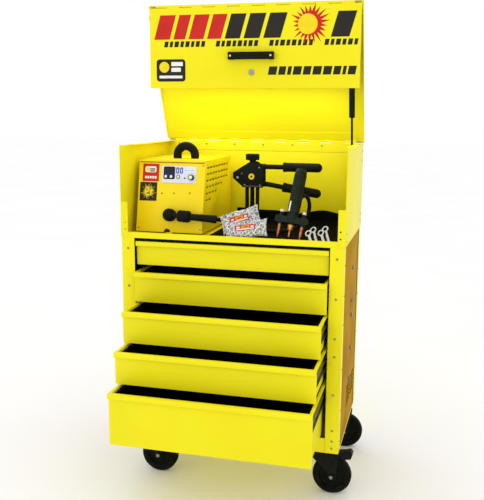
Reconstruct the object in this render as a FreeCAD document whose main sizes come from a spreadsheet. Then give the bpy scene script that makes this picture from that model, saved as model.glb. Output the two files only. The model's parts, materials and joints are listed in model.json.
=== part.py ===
"""Aluminium repair station: a capacitor-discharge spot welder on a five-drawer steel cart.

The cart stands on four swivel casters and carries an open hutch with a lifting lid. The lid's
front flap hangs plumb from its edge. In the hutch stand the welder, its gun and lead, a lever
puller, two bags of studs and four pull keys.

Model frame: +X to the right, +Y to the back, +Z up, millimetres. Every piece is drawn in cart
coordinates (X from the cart's middle, Y from the front of the posts, Z from the floor), and its
Placement moves it so that the origin is under the middle of the whole outline.
"""
import FreeCAD
import Part
import math
import os
import re

Vector = FreeCAD.Vector
Rotation = FreeCAD.Rotation
Placement = FreeCAD.Placement

DIMENSIONS = [
    # alias, value, what it is
    ("shift_x", -20.75, "cart middle, seen from the origin, along X"),
    ("shift_y", -124.4, "front of the posts, seen from the origin, along Y"),
    ("cart_width", 796, "outside of the posts"),
    ("cart_depth", 514, "front of the posts to back of the hutch"),
    ("skin", 2, "thickness of the folded sheet"),
    ("base_z", 176, "underside of the base pan"),
    ("base_rail", 54, "height of the base pan's upturned rails"),
    ("deck_z", 908, "underside of the work deck"),
    ("deck_rail", 20, "height of the deck's front rail"),
    ("post_face", 48, "width of a post's front leg"),
    ("post_side", 40, "depth of a post's side leg"),
    ("post_lip", 30, "depth of the lip that carries the slides"),
    ("seam_z", 648, "joint between the upper and lower side sheets"),
    ("hutch_width", 800, "outside of the hutch sides"),
    ("hutch_top", 1233, "top of the hutch sides"),
    ("hutch_flange", 26, "width of the hutch's folded edges"),
    ("flange_top", 1036, "top of the front flange, below the flap's path"),
    ("flange_front", 90, "front end of the top flange, behind the flap's path"),
    ("hole_r", 3, "radius of the two holes in each front flange"),
    ("hole_low", 938, "height of the lower flange hole"),
    ("hole_high", 962, "height of the upper flange hole"),
    ("hinge_z", 1238, "height of the lid's pivot"),
    ("hinge_barrel", 4, "outer radius of a hinge knuckle"),
    ("hinge_leaf", 36, "width of a hinge leaf"),
    ("hinge_half", 372, "half length of the piano hinges"),
    ("hinge_pin", 1.5, "radius of a hinge pin"),
    ("lid_reach", 538, "lid pivot to flap pivot"),
    ("lid_open", 67.3, "lid's angle above level when the strut is out"),
    ("lid_half", 402.5, "half width of the lid"),
    ("lid_flange", 14, "depth of the lid's side flanges"),
    ("flap_half", 396, "half width of the flap, which swings in between the hutch sides"),
    ("flap_drop", 297, "flap pivot to the flap's lower edge"),
    ("flap_flange", 18, "depth of the flap's folded edges"),
    ("strut_x", 362, "strut's plane"),
    ("strut_on_lid", 330, "lid pivot to the strut's upper eye, along the lid"),
    ("strut_offset", 25, "strut's upper eye below the lid's pivot plane"),
    ("strut_low_y", 470, "strut's lower stud, along Y"),
    ("strut_low_z", 1150, "strut's lower stud, along Z"),
    ("strut_tube", 207, "length of the strut's cylinder"),
    ("strut_hold", 72, "length of rod that stays in the cylinder when the lid is up"),
    ("strut_tube_r", 11, "radius of the strut's cylinder"),
    ("strut_rod_r", 4, "radius of the strut's rod"),
    ("drawer_half", 336, "half width of a drawer's box"),
    ("front_half", 345.5, "half width of a drawer's front"),
    ("drawer_depth", 440, "depth of a drawer's box"),
    ("drawer_wall", 1.5, "thickness of a drawer's sheet"),
    ("lip_depth", 13, "how far the pull lip stands out"),
    ("lip_height", 18, "height of the pull lip"),
    ("rim", 10, "width of the rim folded out over the slides"),
    ("rail_height", 40, "height of a fixed slide rail"),
    ("runner_height", 32, "height of a drawer's slide member"),
    ("rail_front", 17, "front end of the fixed slide rails, behind a closed drawer's front"),
    ("slide_sheet", 1.5, "thickness of the slide members"),
    ("top_1", 896, "top of drawer 1"), ("top_2", 787, "top of drawer 2"),
    ("top_3", 671, "top of drawer 3"), ("top_4", 549, "top of drawer 4"),
    ("top_5", 424, "top of drawer 5"),
    ("tall_1", 86, "height of drawer 1"), ("tall_2", 108, "height of drawer 2"),
    ("tall_3", 112, "height of drawer 3"), ("tall_4", 114, "height of drawer 4"),
    ("tall_5", 184, "height of drawer 5"),
    ("open_1", 0, "how far drawer 1 stands open"), ("open_2", 27, "drawer 2 stands open"),
    ("open_3", 139, "drawer 3 stands open"), ("open_4", 213, "drawer 4 stands open"),
    ("open_5", 273, "drawer 5 stands open"),
    ("caster_x", 328, "swivel axis from the cart's middle"),
    ("caster_front", 62, "front swivel axes behind the posts' front"),
    ("caster_rear", 456, "rear swivel axes behind the posts' front"),
    ("wheel_r", 70, "wheel radius"),
    ("wheel_width", 32, "wheel width"),
    ("trail", 43, "swivel axis to axle"),
    ("fork_gap", 38, "inside width of the fork"),
    ("fork_sheet", 4, "thickness of the fork's cheeks"),
    ("pedal_tip", 116, "swivel axis to the tip of the brake pedal"),
    ("welder_x", -376, "left side of the welder"),
    ("welder_width", 253, "width of the welder"),
    ("welder_y", 80, "lower front edge of the welder"),
    ("welder_depth", 385, "depth of the welder at its base"),
    ("welder_z", 920, "underside of the welder's chassis"),
    ("welder_top", 1178, "top of the welder's cover"),
    ("welder_slant", 50, "how far the front leans back over its height"),
    ("handle_top", 1237, "top of the welder's carrying handle"),
    ("puller_x", 5, "puller's axis, along X"),
    ("puller_y", 262, "puller's axis, along Y"),
    ("grip_z", 1152, "axis of the puller's fixed grip"),
    ("grip_r", 16.5, "radius of the puller's grips"),
    ("gun_r", 21, "radius of the gun's barrel"),
    ("gun_lean", 6.5, "gun's lean to the right"),
    ("gun_back", 20, "gun's lean to the back"),
    ("gun_long", 205, "length of the gun from its cross bar's foot to its top"),
    ("cable_r", 7, "radius of the gun's lead"),
    ("socket_x", 132, "gun socket from the welder's left side"),
    ("socket_z", 981, "height of the gun socket"),
    ("panel_x", 90, "control panel from the welder's left side"),
    ("panel_z", 1097, "lower edge of the control panel"),
    ("panel_tall", 60, "height of the control panel"),
    ("key_level", 22, "height of the three buttons over the panel's lower edge"),
    ("key_r", 5.2, "radius of a button"),
]

doc = FreeCAD.newDocument("station")
sheet = doc.addObject("Spreadsheet::Sheet", "Dims")
for row, (alias, value, note) in enumerate(DIMENSIONS, 1):
    sheet.set(f"A{row}", note)
    sheet.set(f"B{row}", str(value))
    sheet.setAlias(f"B{row}", alias)
doc.recompute()
ALIASES = {alias for alias, _, _ in DIMENSIONS}
NODES = []


# ---------------------------------------------------------------- helpers

def size(alias):
    """Value of a driving dimension, as a number."""
    return float(sheet.get(alias))


def formula(text):
    """Turns bare dimension names in an expression into references to the sheet."""
    return re.sub(r"[a-z_0-9]*[a-z_][a-z_0-9]*",
                  lambda m: "Dims." + m.group(0) if m.group(0) in ALIASES else m.group(0), str(text))


def bind(thing, **sizes):
    """Binds properties of an object to expressions on the sheet."""
    for name, text in sizes.items():
        thing.setExpression(name, formula(text))
    return thing


def move(thing, x, y, z):
    """Binds an object's place to expressions on the sheet."""
    for axis, text in zip("xyz", (x, y, z)):
        thing.setExpression(f".Placement.Base.{axis}", formula(text))
    return thing


def box(x, y, z, dx, dy, dz, name="plate"):
    """Plate or block with its low corner at (x, y, z). Every value may be an expression."""
    made = bind(doc.addObject("Part::Box", name), Length=dx, Width=dy, Height=dz)
    return move(made, x, y, z)


def rod(x, y, z, radius, length, along="z", name="rod"):
    """Cylinder that starts at (x, y, z) and runs along +x, +y or +z."""
    made = bind(doc.addObject("Part::Cylinder", name), Radius=radius, Height=length)
    turned = {"x": Rotation(Vector(0, 1, 0), 90), "y": Rotation(Vector(1, 0, 0), -90), "z": Rotation()}
    made.Placement = Placement(Vector(), turned[along])
    return move(made, x, y, z)


def fuse(*parts):
    """One solid from overlapping or touching parts."""
    made = doc.addObject("Part::MultiFuse", "fuse")
    made.Shapes = list(parts)
    made.Refine = True
    return made


def cut(base, *tools):
    """The base with every tool taken away."""
    made = doc.addObject("Part::Cut", "cut")
    made.Base = base
    made.Tool = tools[0] if len(tools) == 1 else group(*tools)
    return made


def group(*parts):
    """Separate solids that share one node."""
    made = doc.addObject("Part::Compound", "group")
    made.Links = list(parts)
    return made


def is_along(edge, axis):
    """True for a straight edge that runs along the axis."""
    if edge.Curve.TypeId != "Part::GeomLine":
        return False
    return edge.tangentAt(edge.FirstParameter).cross(axis).Length < 1e-6


def feature(shape, name="shape"):
    """A shape made in code, for pieces that no primitive fits."""
    made = doc.addObject("Part::Feature", name)
    made.Shape = shape
    return made


def node(label, thing, swing=None):
    """Names a finished piece and puts it in the model frame, after any swing from its drawn pose."""
    if thing.ExpressionEngine:
        thing = group(thing)
    thing.Label = label
    shift = Placement(Vector(size("shift_x"), size("shift_y"), 0), Rotation())
    thing.Placement = shift * (swing or Placement()) * thing.Placement
    NODES.append(thing)
    return thing


def swing_about(point, angle, axis=Vector(1, 0, 0)):
    """Placement that turns a piece about an axis through a point."""
    return Placement(Vector(), Rotation(axis, angle), point)


def plane_of(body, role):
    """One of a body's own origin planes."""
    return next(f for f in body.Origin.OriginFeatures if f.Role == role)


def new_body(name):
    """Empty PartDesign body."""
    return doc.addObject("PartDesign::Body", name)


def sketch_on(body, role, offset=0):
    """Sketch on a body's own origin plane, moved along the plane's normal."""
    made = body.newObject("Sketcher::SketchObject", "profile")
    made.AttachmentSupport = [(plane_of(body, role), "")]
    made.MapMode = "FlatFace"
    if offset:
        made.setExpression(".AttachmentOffset.Base.z", formula(offset))
    return made


def outline(sketch, points):
    """Closed outline of straight edges through the points."""
    corners = [Vector(x, y, 0) for x, y in points]
    first = sketch.GeometryCount
    for start, end in zip(corners, corners[1:] + corners[:1]):
        sketch.addGeometry(Part.LineSegment(start, end), False)
    return first


def pad(body, sketch, length, both=False, back=False):
    """Pads a sketch by a length from the sheet."""
    made = body.newObject("PartDesign::Pad", "pad")
    made.Profile = sketch
    made.setExpression("Length", formula(length))
    made.Midplane = both
    made.Reversed = back
    return made


def pocket(body, sketch, length, both=False, back=False):
    """Cuts a sketch out of the body."""
    made = body.newObject("PartDesign::Pocket", "pocket")
    made.Profile = sketch
    made.setExpression("Length", formula(length))
    made.Midplane = both
    made.Reversed = back
    return made


def padded_profile(name, role, points, length, offset=0, both=False, back=False):
    """Body with one outline padded off an origin plane."""
    body = new_body(name)
    profile = sketch_on(body, role, offset)
    outline(profile, points)
    pad(body, profile, length, both, back)
    return body


def turned(name, points, role="XZ_Plane", about="V_Axis"):
    """Body of revolution of an outline about one of its sketch's axes."""
    body = new_body(name)
    profile = sketch_on(body, role)
    outline(profile, points)
    made = body.newObject("PartDesign::Revolution", "revolution")
    made.Profile = profile
    made.ReferenceAxis = (profile, [about])
    made.Angle = 360
    return body


def placed(thing, point, rotation=Rotation()):
    """Moves a piece drawn at its own origin to its place in cart coordinates."""
    thing.Placement = Placement(point, rotation)
    return thing


# ---------------------------------------------------------------- cabinet

SIDES = {"left": -1, "right": 1}


def post_profile(side, front):
    """Cross-section of a corner post: a front leg, a side leg and, in front, a lip for the slides."""
    half, t = size("cart_width") / 2, size("skin")
    face, leg, lip = size("post_face"), size("post_side"), size("post_lip")
    if front:
        points = [(half - face, 0), (half, 0), (half, leg), (half - t, leg), (half - t, t),
                  (half - face + t, t), (half - face + t, lip), (half - face, lip)]
    else:
        depth = size("cart_depth")
        points = [(half - face, depth), (half, depth), (half, depth - leg), (half - t, depth - leg),
                  (half - t, depth - t), (half - face, depth - t)]
    return [(side * x, y) for x, y in points]


def build_cabinet():
    """Posts, side sheets, back, base pan, deck, slide rails and caster plates."""
    posts = [padded_profile("post", "XY_Plane", post_profile(side, front),
                            "deck_z - base_z - skin", offset="base_z + skin")
             for side in SIDES.values() for front in (True, False)]
    node("corner_posts", group(*posts))

    inner = "cart_width / 2 - skin"
    for name, side in SIDES.items():
        x = f"{inner} - 2" if side > 0 else f"-({inner})"
        depth = "cart_depth - 2 * skin"
        lower = box(x, "skin", "base_z + skin", 2, depth, "seam_z - base_z - skin - 1")
        slots = [box(f"{x} - 2", 215 + 120 * i, 262 + 17 * j, 6, 108, 11) for i in range(2) for j in range(5)]
        lower = cut(lower, *slots)
        upper = box(x, "skin", "seam_z + 1", 2, depth, "deck_z - seam_z - 1")
        node(f"cabinet_side_{name}", group(lower, upper))

    node("cabinet_back", box("-(cart_width / 2 - 2 * skin)", "cart_depth - 2 * skin", "base_z + skin",
                             "cart_width - 4 * skin", "skin", "deck_z - base_z - skin"))

    floor = box("-cart_width / 2", 0, "base_z", "cart_width", "cart_depth", "skin")
    rail_long = "2 * (cart_width / 2 - post_face)"
    front = box("-(cart_width / 2 - post_face)", "skin", "base_z", rail_long, "skin", "base_rail")
    back = box("-(cart_width / 2 - post_face - skin)", "cart_depth - 3 * skin", "base_z",
               f"{rail_long} - 2 * skin", "skin", "base_rail")
    ribs = [box(f"{x} - 20", "2 * skin", "base_z", 40, "cart_depth - 5 * skin", "3 * skin")
            for x in (-200, 0, 200)]
    node("cabinet_base", fuse(floor, front, back, *ribs))

    deck = box("-hutch_width / 2", 0, "deck_z", "hutch_width", "cart_depth", "skin")
    rail_half = "(hutch_width / 2 - hutch_flange)"
    rail = box(f"-{rail_half}", 0, "deck_z", f"2 * {rail_half}", "skin", "deck_rail")
    rail_top = box(f"-{rail_half}", 0, "deck_z + deck_rail - skin", f"2 * {rail_half}", 12, "skin")
    inside = "(cart_width / 2 - post_face - 1)"
    under = box(f"-{inside}", "2 * skin", "deck_z - 10", f"2 * {inside}", 2, 10)
    node("work_deck", fuse(deck, rail, rail_top, under))

    rails = []
    for n in range(1, 6):
        for side in SIDES.values():
            rails.append(slide_channel(side, f"top_{n} - 47", "rail_height", size("rail_front"),
                                       size("cart_width") / 2 - size("post_face"), -9.5,
                                       size("cart_depth") - size("rail_front") - 8))
    node("slide_rails", group(*rails))

    plates = []
    for x in ("-caster_x", "caster_x"):
        for y in ("caster_front", "caster_rear"):
            plate = box(f"{x} - 52", f"{y} - 42", "base_z - 4", 104, 84, 4)
            race = rod(x, y, "base_z - 14", 30, 10)
            bolts = [rod(f"{x} + {dx}", f"{y} + {dy}", "base_z - 9", 6, 6) for dx in (-40, 40)
                     for dy in (-31, 31)]
            plates.append(fuse(plate, race, *bolts))
    node("caster_plates", group(*plates))


def slide_channel(side, middle, height, start, web_x, reach, long):
    """C-channel that runs front to back. reach is how far its lips stand from the web's outer face."""
    t = "slide_sheet"
    low = f"{middle} - {height} / 2"
    def span(a, b):
        """Low corner and width of the X range from a to b, on this side of the cart."""
        ends = sorted((side * a, side * b))
        return ends[0], ends[1] - ends[0]
    step = math.copysign(size("slide_sheet"), reach)
    web_low, web_wide = span(web_x, web_x + step)
    lip_low, lip_wide = span(web_x, web_x + reach)
    web = box(web_low, start, low, web_wide, long, height)
    top = box(lip_low, start, f"{low} + {height} - {t}", lip_wide, long, t)
    bottom = box(lip_low, start, low, lip_wide, long, t)
    return fuse(web, top, bottom)


def build_hutch():
    """Hutch sides with folded edges, the hutch back and the fixed leaf of the lid's hinge."""
    for name, side in SIDES.items():
        x = "hutch_width / 2 - skin" if side > 0 else "-hutch_width / 2"
        wall = box(x, 0, "deck_z + skin", "skin", "cart_depth - skin", "hutch_top - deck_z - skin")
        x = "hutch_width / 2 - hutch_flange" if side > 0 else "-hutch_width / 2"
        front = box(x, 0, "deck_z + skin", "hutch_flange", "skin", "flange_top - deck_z - skin")
        edge = box(x, "flange_front", "hutch_top - skin", "hutch_flange",
                   "cart_depth - skin - flange_front", "skin")
        holes = [rod(f"{side} * (hutch_width / 2 - 17)", -2, level, "hole_r", "skin + 4", "y")
                 for level in ("hole_low", "hole_high")]
        node(f"hutch_side_{name}", cut(fuse(wall, front, edge), *holes))
    node("hutch_back", box("-hutch_width / 2", "cart_depth - skin", "deck_z + skin", "hutch_width",
                           "skin", "hutch_top - deck_z - skin"))
    leaf = box("-hinge_half", "cart_depth - 2 * skin", "hinge_z - hinge_leaf - 5", "2 * hinge_half",
               "skin", "hinge_leaf + 5")
    node("lid_hinge_fixed", hinge_half(leaf, "cart_depth", "hinge_z", 0))


KNUCKLES = 16


def hinge_half(leaf, y, z, first):
    """Leaf with every other knuckle. The half that starts first carries the pin, the other its bore."""
    pitch = 2 * size("hinge_half") / KNUCKLES
    barrels = [rod(-size("hinge_half") + pitch * n + 0.25, y, z, "hinge_barrel - 0.3", pitch - 0.5, "x")
               for n in range(first, KNUCKLES, 2)]
    gaps = [box(-size("hinge_half") + pitch * n - 0.25, f"{y} - hinge_barrel - 3",
                f"{z} - hinge_barrel - 3", pitch + 0.5, "2 * hinge_barrel + 6", "2 * hinge_barrel + 6")
            for n in range(1 - first, KNUCKLES, 2)]
    trimmed = cut(leaf, *gaps)
    if first == 0:
        return fuse(trimmed, *barrels, rod("-hinge_half", y, z, "hinge_pin", "2 * hinge_half", "x"))
    bore = rod("-hinge_half - 1", y, z, "hinge_pin + 0.1", "2 * hinge_half + 2", "x")
    return cut(fuse(trimmed, *barrels), bore)


# ---------------------------------------------------------------- lid, flap and strut

def lid_swing():
    """From the closed lid, as drawn, to the open lid."""
    return swing_about(Vector(0, size("cart_depth"), size("hinge_z")), -size("lid_open"))


def flap_shift():
    """The flap keeps plumb, so it only travels with the lid's front edge."""
    angle = math.radians(size("lid_open"))
    reach = size("lid_reach")
    return Placement(Vector(0, reach * (1 - math.cos(angle)), reach * math.sin(angle)), Rotation())


def build_lid():
    """Lid panel with folded sides, its two hinge leaves and the strut's bracket, drawn closed."""
    front = "cart_depth - lid_reach - hinge_barrel"
    panel = box("-lid_half", front, "hinge_z + hinge_barrel", "2 * lid_half",
                "lid_reach + hinge_barrel + 6", "skin")
    sides = [box(x, "8", "hinge_z + hinge_barrel - lid_flange", 1.5, "cart_depth - 14", "lid_flange + skin")
             for x in ("-lid_half", "lid_half - 1.5")]
    node("lid_panel", fuse(panel, *sides), lid_swing())

    back_leaf = box("-hinge_half", "cart_depth - hinge_leaf", "hinge_z + hinge_barrel - skin",
                    "2 * hinge_half", "hinge_leaf", "skin")
    back = hinge_half(back_leaf, "cart_depth", "hinge_z", 1)
    edge_y = "cart_depth - lid_reach"
    front_leaf = box("-hinge_half", edge_y, "hinge_z + hinge_barrel - skin", "2 * hinge_half", 24, "skin")
    front_half = hinge_half(front_leaf, edge_y, "hinge_z", 0)
    node("lid_hinge_leaves", group(back, front_half), lid_swing())

    eye_y = "cart_depth - strut_on_lid"
    foot = box("strut_x - 30", f"{eye_y} - 24", "hinge_z + hinge_barrel - 3", 22, 48, 3)
    ear = box("strut_x - 15", f"{eye_y} - 10", "hinge_z - strut_offset - 9", 3, 20,
              "strut_offset + hinge_barrel + 9")
    stud = rod("strut_x - 15", eye_y, "hinge_z - strut_offset", 4, 22, "x")
    node("strut_bracket", fuse(foot, ear, stud), lid_swing())


def build_flap():
    """Front flap with its own rolled knuckles, pull handle and lock, drawn closed."""
    y = "cart_depth - lid_reach"
    low = "hinge_z - flap_drop"
    panel = box("-flap_half", f"{y} - hinge_barrel", low, "2 * flap_half", "skin",
                "flap_drop - hinge_barrel - 1")
    sides = [box(x, f"{y} - hinge_barrel", low, 1.5, "flap_flange", "flap_drop - 28")
             for x in ("-flap_half", "flap_half - 1.5")]
    foot = box("-flap_half", f"{y} - hinge_barrel", low, "2 * flap_half", "flap_flange", 1.5)
    leaf = box("-hinge_half", f"{y} - hinge_barrel", "hinge_z - 22", "2 * hinge_half", "skin", 22)
    knuckled = hinge_half(leaf, y, "hinge_z", 1)
    lock_hole = rod(0, f"{y} - 20", f"{low} + 57", 8.2, 40, "y")
    node("flap_panel", cut(fuse(panel, *sides, foot, knuckled), lock_hole), flap_shift())

    face = size("cart_depth") - size("lid_reach") - size("hinge_barrel")
    middle = size("hinge_z") - size("flap_drop") + 116
    grip = Part.makeBox(170, 4, 27, Vector(-85, face - 22, middle - 13.5))
    feet = [Part.makeBox(18, 22, 27, Vector(x, face - 22, middle - 13.5)) for x in (-85, 67)]
    heads = [Part.makeCylinder(4.5, 3, Vector(x, face - 25, middle), Vector(0, 1, 0)) for x in (-76, 76)]
    bar = grip.fuse(feet).removeSplitter()
    uprights = [e for e in bar.Edges if is_along(e, Vector(0, 0, 1)) and e.CenterOfMass.y < face - 21]
    bar = bar.makeFillet(3, uprights).fuse(heads)
    node("flap_pull", feature(bar), flap_shift())

    lock_z = size("hinge_z") - size("flap_drop") + 57
    barrel = Part.makeCylinder(8, 22, Vector(0, face - 3, lock_z), Vector(0, 1, 0))
    rim = Part.makeCylinder(11, 3, Vector(0, face - 3, lock_z), Vector(0, 1, 0))
    slot = Part.makeBox(1.8, 2, 9, Vector(-0.9, face - 3.5, lock_z - 4.5))
    cam = Part.makeBox(12, 2.5, 34, Vector(-6, face + 17, lock_z - 26))
    node("flap_lock", feature(barrel.fuse([rim, cam]).cut(slot)), flap_shift())


def strut_ends():
    """Upper and lower pivot of the strut with the lid open."""
    drawn = Vector(size("strut_x"), size("cart_depth") - size("strut_on_lid"),
                   size("hinge_z") - size("strut_offset"))
    low = Vector(size("strut_x"), size("strut_low_y"), size("strut_low_z"))
    return lid_swing().multVec(drawn), low


def build_strut():
    """Gas strut: a cylinder that hangs from the lid, and a rod that reaches the hutch side."""
    up, low = strut_ends()
    along = (low - up).normalize()
    tube_start = up + along * 12
    tube = Part.makeCylinder(size("strut_tube_r"), size("strut_tube") - 12, tube_start, along)
    bore = Part.makeCylinder(size("strut_rod_r") + 0.3, size("strut_tube") - 20, up + along * 24, along)
    tube = tube.cut(bore)
    neck = Part.makeCylinder(5, 10, up + along * 5, along)
    eye = Part.makeCylinder(9, 9, up - Vector(5, 0, 0), Vector(1, 0, 0))
    hole = Part.makeCylinder(4.06, 12, up - Vector(6, 0, 0), Vector(1, 0, 0))
    node("strut_cylinder", feature(tube.fuse([neck, eye]).cut(hole)))

    rod_start = up + along * (size("strut_tube") - size("strut_hold"))
    reach = (low - rod_start).Length
    shaft = Part.makeCylinder(size("strut_rod_r"), reach, rod_start, along)
    end = Part.makeCylinder(8, 10, low - Vector(5, 0, 0), Vector(1, 0, 0))
    node("strut_rod", feature(shaft.fuse(end)))


# ---------------------------------------------------------------- drawers

def build_drawers():
    """Five trays with a folded pull lip and rim, each with its pair of slide members."""
    for n in range(1, 6):
        top, tall, opened = f"top_{n}", f"tall_{n}", f"open_{n}"
        y = f"lip_depth + skin - {opened}"
        low = f"{top} - {tall} + 3"
        shell = box("-drawer_half", y, low, "2 * drawer_half", "drawer_depth", f"{tall} - 3")
        hollow = box("-drawer_half + drawer_wall", f"{y} + drawer_wall", f"{low} + drawer_wall",
                     "2 * drawer_half - 2 * drawer_wall", "drawer_depth - 2 * drawer_wall", f"{tall}")
        tray = cut(shell, hollow)
        rims = [box(x, y, f"{top} - drawer_wall", "rim", "drawer_depth", "drawer_wall")
                for x in ("drawer_half", "-drawer_half - rim")]
        body = padded_profile("front", "YZ_Plane", front_profile(n), "2 * front_half", both=True)
        node(f"drawer_{n}", fuse(tray, *rims, body))

        runners = [slide_channel(side, f"{top} - 47", "runner_height", size("rail_front") - size(opened),
                                 size("drawer_half"), 9.0, 430)
                   for side in SIDES.values()]
        node(f"drawer_slides_{n}", group(*runners))


def front_profile(n):
    """Cross-section of a drawer front in Y and Z: flat face, pull lip with a turned-in lower edge."""
    top, tall, opened = size(f"top_{n}"), size(f"tall_{n}"), size(f"open_{n}")
    depth, height, t = size("lip_depth"), size("lip_height"), size("skin")
    low, y = top - tall, -opened
    return [(y + 2.5, top), (y + depth + t, top), (y + depth + t, low), (y + depth, low),
            (y + depth, top - t), (y + 3.2, top - t), (y + t, top - 3.2), (y + t, top - height + 2.6),
            (y + 3.2, top - height + 1.2), (y + 6, top - height + 1.2), (y + 6, top - height),
            (y + 2.5, top - height), (y, top - height + 2.5), (y, top - 2.5)]


# ---------------------------------------------------------------- casters

CASTERS = {"front_left": (-1, "caster_front"), "front_right": (1, "caster_front"),
           "rear_left": (-1, "caster_rear"), "rear_right": (1, "caster_rear")}


def build_casters():
    """Four swivel forks with their wheels, and a brake pedal on each front one."""
    for name, (side, row) in CASTERS.items():
        pivot = Vector(side * size("caster_x"), size(row), 0)
        node(f"caster_fork_{name}", placed(feature(fork_shape()), pivot))
        node(f"caster_wheel_{name}", placed(wheel_body(), pivot + Vector(size("trail"), 0, size("wheel_r"))))
        if name.startswith("front"):
            node(f"caster_brake_{name}", placed(feature(pedal_shape()), pivot))


def fork_shape():
    """Swivel head, two cheeks that trail to the axle, and the axle bolt with its nut."""
    r, trail = size("wheel_r"), size("trail")
    gap, t, top = size("fork_gap"), size("fork_sheet"), size("base_z") - 15
    head = Part.makeCylinder(36, 5, Vector(0, 0, top - 5))
    crown = Part.makeBox(74, gap + 2 * t, 4, Vector(-30, -gap / 2 - t, top - 9))
    shape = head.fuse(crown)
    profile = [Vector(-30, 0, top - 5), Vector(68, 0, top - 5), Vector(68, 0, top - 22), Vector(trail + 17, 0, r + 18),
               Vector(trail + 17, 0, r), Vector(trail - 17, 0, r), Vector(trail - 17, 0, r + 14),
               Vector(-30, 0, top - 22)]
    for y in (-gap / 2 - t, gap / 2):
        cheek = Part.Face(Part.makePolygon(profile + profile[:1])).extrude(Vector(0, t, 0))
        boss = Part.makeCylinder(17, t, Vector(trail, 0, r), Vector(0, 1, 0))
        side = cheek.fuse(boss)
        side.translate(Vector(0, y, 0))
        shape = shape.fuse(side)
    axle = Part.makeCylinder(6, gap + 2 * t + 2, Vector(trail, -gap / 2 - t - 1, r), Vector(0, 1, 0))
    ends = [Part.makeCylinder(9.5, 6, Vector(trail, y, r), Vector(0, 1, 0))
            for y in (-gap / 2 - t - 6, gap / 2 + t)]
    pin = Part.makeCylinder(3, gap + 2 * t + 2, Vector(58, -gap / 2 - t - 1, top - 14), Vector(0, 1, 0))
    return shape.fuse([axle, pin, *ends]).removeSplitter()


def wheel_body():
    """Tyre, rim and hub as one turned wheel with a bore, on an axis along Y."""
    r, half = size("wheel_r"), size("wheel_width") / 2
    points = [(6.15, -half - 2), (16, -half - 2), (17, -half + 3), (44, -half + 5), (46, -half),
              (r - 6, -half), (r - 1.5, -half + 4), (r, -half + 10), (r, half - 10),
              (r - 1.5, half - 4), (r - 6, half), (46, half), (44, half - 5), (17, half - 3),
              (16, half + 2), (6.15, half + 2)]
    return turned("wheel", points, role="XY_Plane", about="V_Axis")


def pedal_shape():
    """Brake pedal that turns on a pin between the fork's cheeks, with a broad tread."""
    top, tip = size("base_z") - 24, size("pedal_tip")
    points = [Vector(58, 0, top - 2), Vector(70, 0, top + 8), Vector(88, 0, top + 10),
              Vector(tip - 8, 0, top + 16), Vector(tip, 0, top + 6), Vector(tip - 6, 0, top - 12),
              Vector(tip - 26, 0, top - 16), Vector(78, 0, top - 8), Vector(62, 0, top - 12)]
    tread = Part.Face(Part.makePolygon(points + points[:1])).extrude(Vector(0, 34, 0))
    tread.translate(Vector(0, -17, 0))
    lugs = [Part.makeCylinder(7, 3, Vector(58, y, top - 5), Vector(0, 1, 0)) for y in (-17, 14)]
    arms = [Part.makeBox(20, 3, 10, Vector(52, y, top - 10)) for y in (-17, 14)]
    bore = Part.makeCylinder(3.06, 50, Vector(58, -25, top - 5), Vector(0, 1, 0))
    return tread.fuse(lugs + arms).cut(bore).removeSplitter()


# ---------------------------------------------------------------- welder

def slant_angle():
    """Angle that the welder's front leans back."""
    return math.degrees(math.atan2(size("welder_slant"), size("welder_top") - size("welder_z")))


def on_front(x, z, out=0.0):
    """Point on the welder's leaning front at a height z, standing out by a distance."""
    share = (z - size("welder_z")) / (size("welder_top") - size("welder_z"))
    y = size("welder_y") + size("welder_slant") * share
    lean = math.radians(slant_angle())
    return Vector(x, y - out * math.cos(lean), z + out * math.sin(lean))


def front_turn():
    """Rotation that lays a piece drawn on the XZ plane on the leaning front."""
    return Rotation(Vector(1, 0, 0), -slant_angle())


def side_outline(inset=0.0):
    """The welder's side as Y and Z points, with its leaning front edge."""
    y, z, top = size("welder_y"), size("welder_z"), size("welder_top")
    back = y + size("welder_depth")
    return [(y + inset, z), (back - inset, z), (back - inset, top - inset),
            (y + size("welder_slant") + inset, top - inset)]


SLOT_ROWS = [(28, 8), (51, 8), (74, 8), (97, 6), (120, 4), (143, 2)]


KEYS = {"left": 15.5, "right": 36, "mode": 62.5}


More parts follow.
